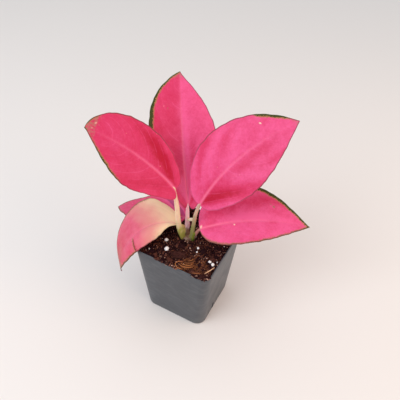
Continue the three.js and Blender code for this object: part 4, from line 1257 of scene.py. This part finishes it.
# In metres: how far the floor reaches, where the two lights stand, their widths, and the point they face.
FLOOR_REACH = 4
KEY_PLACE, KEY_SIZE = (-0.5, -0.95, 1.15), 0.9
FILL_PLACE, FILL_SIZE = (1.1, 0.1, 0.75), 1.0
LIT_MIDDLE = Vector((0, 0, 0.1))


def make_camera(stage):
    """The camera at the photograph's place: turned left from +Y, tilted down and rolled slightly."""
    ahead = Vector((0, math.cos(CAMERA_DOWN), -math.sin(CAMERA_DOWN)))
    level = Vector((1, 0, 0))
    over = level.cross(ahead)
    right = level * math.cos(CAMERA_ROLL) + over * math.sin(CAMERA_ROLL)
    up = over * math.cos(CAMERA_ROLL) - level * math.sin(CAMERA_ROLL)
    turn = Matrix.Rotation(CAMERA_HEADING, 4, "Z") @ Matrix((right, up, -ahead)).transposed().to_4x4()
    camera = new_object("camera", bpy.data.cameras.new("camera"))
    camera.data.lens = stage.lens
    camera.data.sensor_width = 36
    camera.matrix_world = Matrix.Translation(CAMERA_PLACE) @ turn
    bpy.context.scene.camera = camera


def soft_light(name, place, size, power, tint):
    """A square studio light that faces the plant."""
    lamp = bpy.data.lights.new(name, "AREA")
    lamp.size, lamp.energy, lamp.color = size, power, tint[:3]
    light = new_object(name, lamp)
    light.location = place
    light.rotation_euler = (LIT_MIDDLE - Vector(place)).to_track_quat("-Z", "Y").to_euler()


def make_stage(stage):
    """A plain pale floor, one large soft light, a fill and even light all round."""
    mesh = bpy.data.meshes.new("floor")
    corners = [(x * FLOOR_REACH, y * FLOOR_REACH, 0) for x, y in ((-1, -1), (1, -1), (1, 1), (-1, 1))]
    mesh.from_pydata(corners, [], [(0, 1, 2, 3)])
    # smooth and matt, with very faint clouds nearly a metre wide
    material, tree, shader = new_material("plain_floor", 0.7, Specular_IOR_Level=0.3)
    cloud = put(tree, "TexNoise", {"Vector": put(tree, "TexCoord", {}, "Object"), "Scale": 1.2, "Detail": 1})
    low = [c * 0.97 for c in stage.floor[:3]] + [1]
    tone = put(tree, "Mix", {0: cloud, 6: low, 7: stage.floor}, 2, data_type="RGBA")
    feed(tree, shader, Base_Color=tone)
    mesh.materials.append(material)
    new_object("floor", mesh)
    soft_light("key", KEY_PLACE, KEY_SIZE, stage.key, stage.key_tint)
    soft_light("fill", FILL_PLACE, FILL_SIZE, stage.fill, stage.fill_tint)
    world = bpy.data.worlds.new("studio")
    world.use_nodes = True
    background = world.node_tree.nodes["Background"].inputs
    background["Color"].default_value = stage.sky_tint
    background["Strength"].default_value = stage.sky
    bpy.context.scene.world = world
    bpy.context.scene.view_settings.view_transform = "Standard"
    make_camera(stage)


# ---- operators, panel and registration ----

class EVERGREEN_OT_pot(bpy.types.Operator):
    """Make the thin square nursery pot with its drain holes"""

    bl_idname = "evergreen.pot"
    bl_label = "Nursery pot"

    def execute(self, context):
        make_pot(context.scene.evergreen_pot)
        return {"FINISHED"}


class EVERGREEN_OT_soil(bpy.types.Operator):
    """Fill the pot with potting mix, loose crumbs and coir fibres"""

    bl_idname = "evergreen.soil"
    bl_label = "Potting mix"

    def execute(self, context):
        scene = context.scene
        material = damp_peat(scene.evergreen_soil)
        make_soil(scene.evergreen_soil, scene.evergreen_pot, material)
        make_clods(scene.evergreen_soil, material)
        make_crumbs(scene.evergreen_soil, scene.evergreen_pot, material)
        make_fibres(scene.evergreen_soil)
        return {"FINISHED"}


class EVERGREEN_OT_perlite(bpy.types.Operator):
    """Set the perlite grains in the soil"""

    bl_idname = "evergreen.perlite"
    bl_label = "Perlite"

    def execute(self, context):
        make_perlite(context.scene.evergreen_soil)
        return {"FINISHED"}


class EVERGREEN_OT_bark(bpy.types.Operator):
    """Lay the bark chip in front of the crown"""

    bl_idname = "evergreen.bark"
    bl_label = "Bark chip"

    def execute(self, context):
        make_bark(context.scene.evergreen_soil)
        return {"FINISHED"}


class EVERGREEN_OT_stem(bpy.types.Operator):
    """Grow the crown, the leaf stalks and their sheaths"""

    bl_idname = "evergreen.stem"
    bl_label = "Crown and stalks"

    def execute(self, context):
        make_stem(context.scene.evergreen_stem)
        return {"FINISHED"}


class EVERGREEN_OT_pink_leaves(bpy.types.Operator):
    """Spread the five pink leaf blades"""

    bl_idname = "evergreen.pink_leaves"
    bl_label = "Pink leaves"

    def execute(self, context):
        blades = context.scene.evergreen_blades
        names = [name for name in LEAVES if name != PALE_LEAF]
        make_blades(blades, names, leaf_skin("pink_leaf_skin", blades, 1))
        return {"FINISHED"}


class EVERGREEN_OT_pale_leaf(bpy.types.Operator):
    """Hang the old pale leaf blade over the pot's corner"""

    bl_idname = "evergreen.pale_leaf"
    bl_label = "Old pale leaf"

    def execute(self, context):
        blades = context.scene.evergreen_blades
        make_blades(blades, [PALE_LEAF], leaf_skin("pale_leaf_skin", blades, 0.3))
        return {"FINISHED"}


class EVERGREEN_OT_stage(bpy.types.Operator):
    """Set the floor, the lights and the camera"""

    bl_idname = "evergreen.stage"
    bl_label = "Stage"

    def execute(self, context):
        make_stage(context.scene.evergreen_stage)
        return {"FINISHED"}


MAKERS = [
    EVERGREEN_OT_stage,
    EVERGREEN_OT_pot,
    EVERGREEN_OT_soil,
    EVERGREEN_OT_perlite,
    EVERGREEN_OT_bark,
    EVERGREEN_OT_stem,
    EVERGREEN_OT_pink_leaves,
    EVERGREEN_OT_pale_leaf,
]
SETTINGS = {
    "evergreen_pot": PotSettings,
    "evergreen_soil": SoilSettings,
    "evergreen_blades": BladeSettings,
    "evergreen_stem": StemSettings,
    "evergreen_stage": StageSettings,
}


class EVERGREEN_PT_panel(bpy.types.Panel):
    """The plant's makers and settings"""

    bl_idname = "EVERGREEN_PT_panel"
    bl_label = "Chinese evergreen"
    bl_space_type = "VIEW_3D"
    bl_region_type = "UI"
    bl_category = "Evergreen"

    def draw(self, context):
        for maker in MAKERS:
            self.layout.operator(maker.bl_idname)
        for name, group in SETTINGS.items():
            box = self.layout.box()
            for prop in group.__annotations__:
                box.prop(getattr(context.scene, name), prop)


def register():
    for kind in [*SETTINGS.values(), *MAKERS, EVERGREEN_PT_panel]:
        bpy.utils.register_class(kind)
    for name, group in SETTINGS.items():
        setattr(bpy.types.Scene, name, bpy.props.PointerProperty(type=group))


def unregister():
    for name in SETTINGS:
        delattr(bpy.types.Scene, name)
    for kind in [EVERGREEN_PT_panel, *reversed(MAKERS), *SETTINGS.values()]:
        bpy.utils.unregister_class(kind)


def main():
    register()
    for maker in MAKERS:
        getattr(bpy.ops.evergreen, maker.bl_idname.split(".")[1])()


if __name__ == "__main__":
    main()
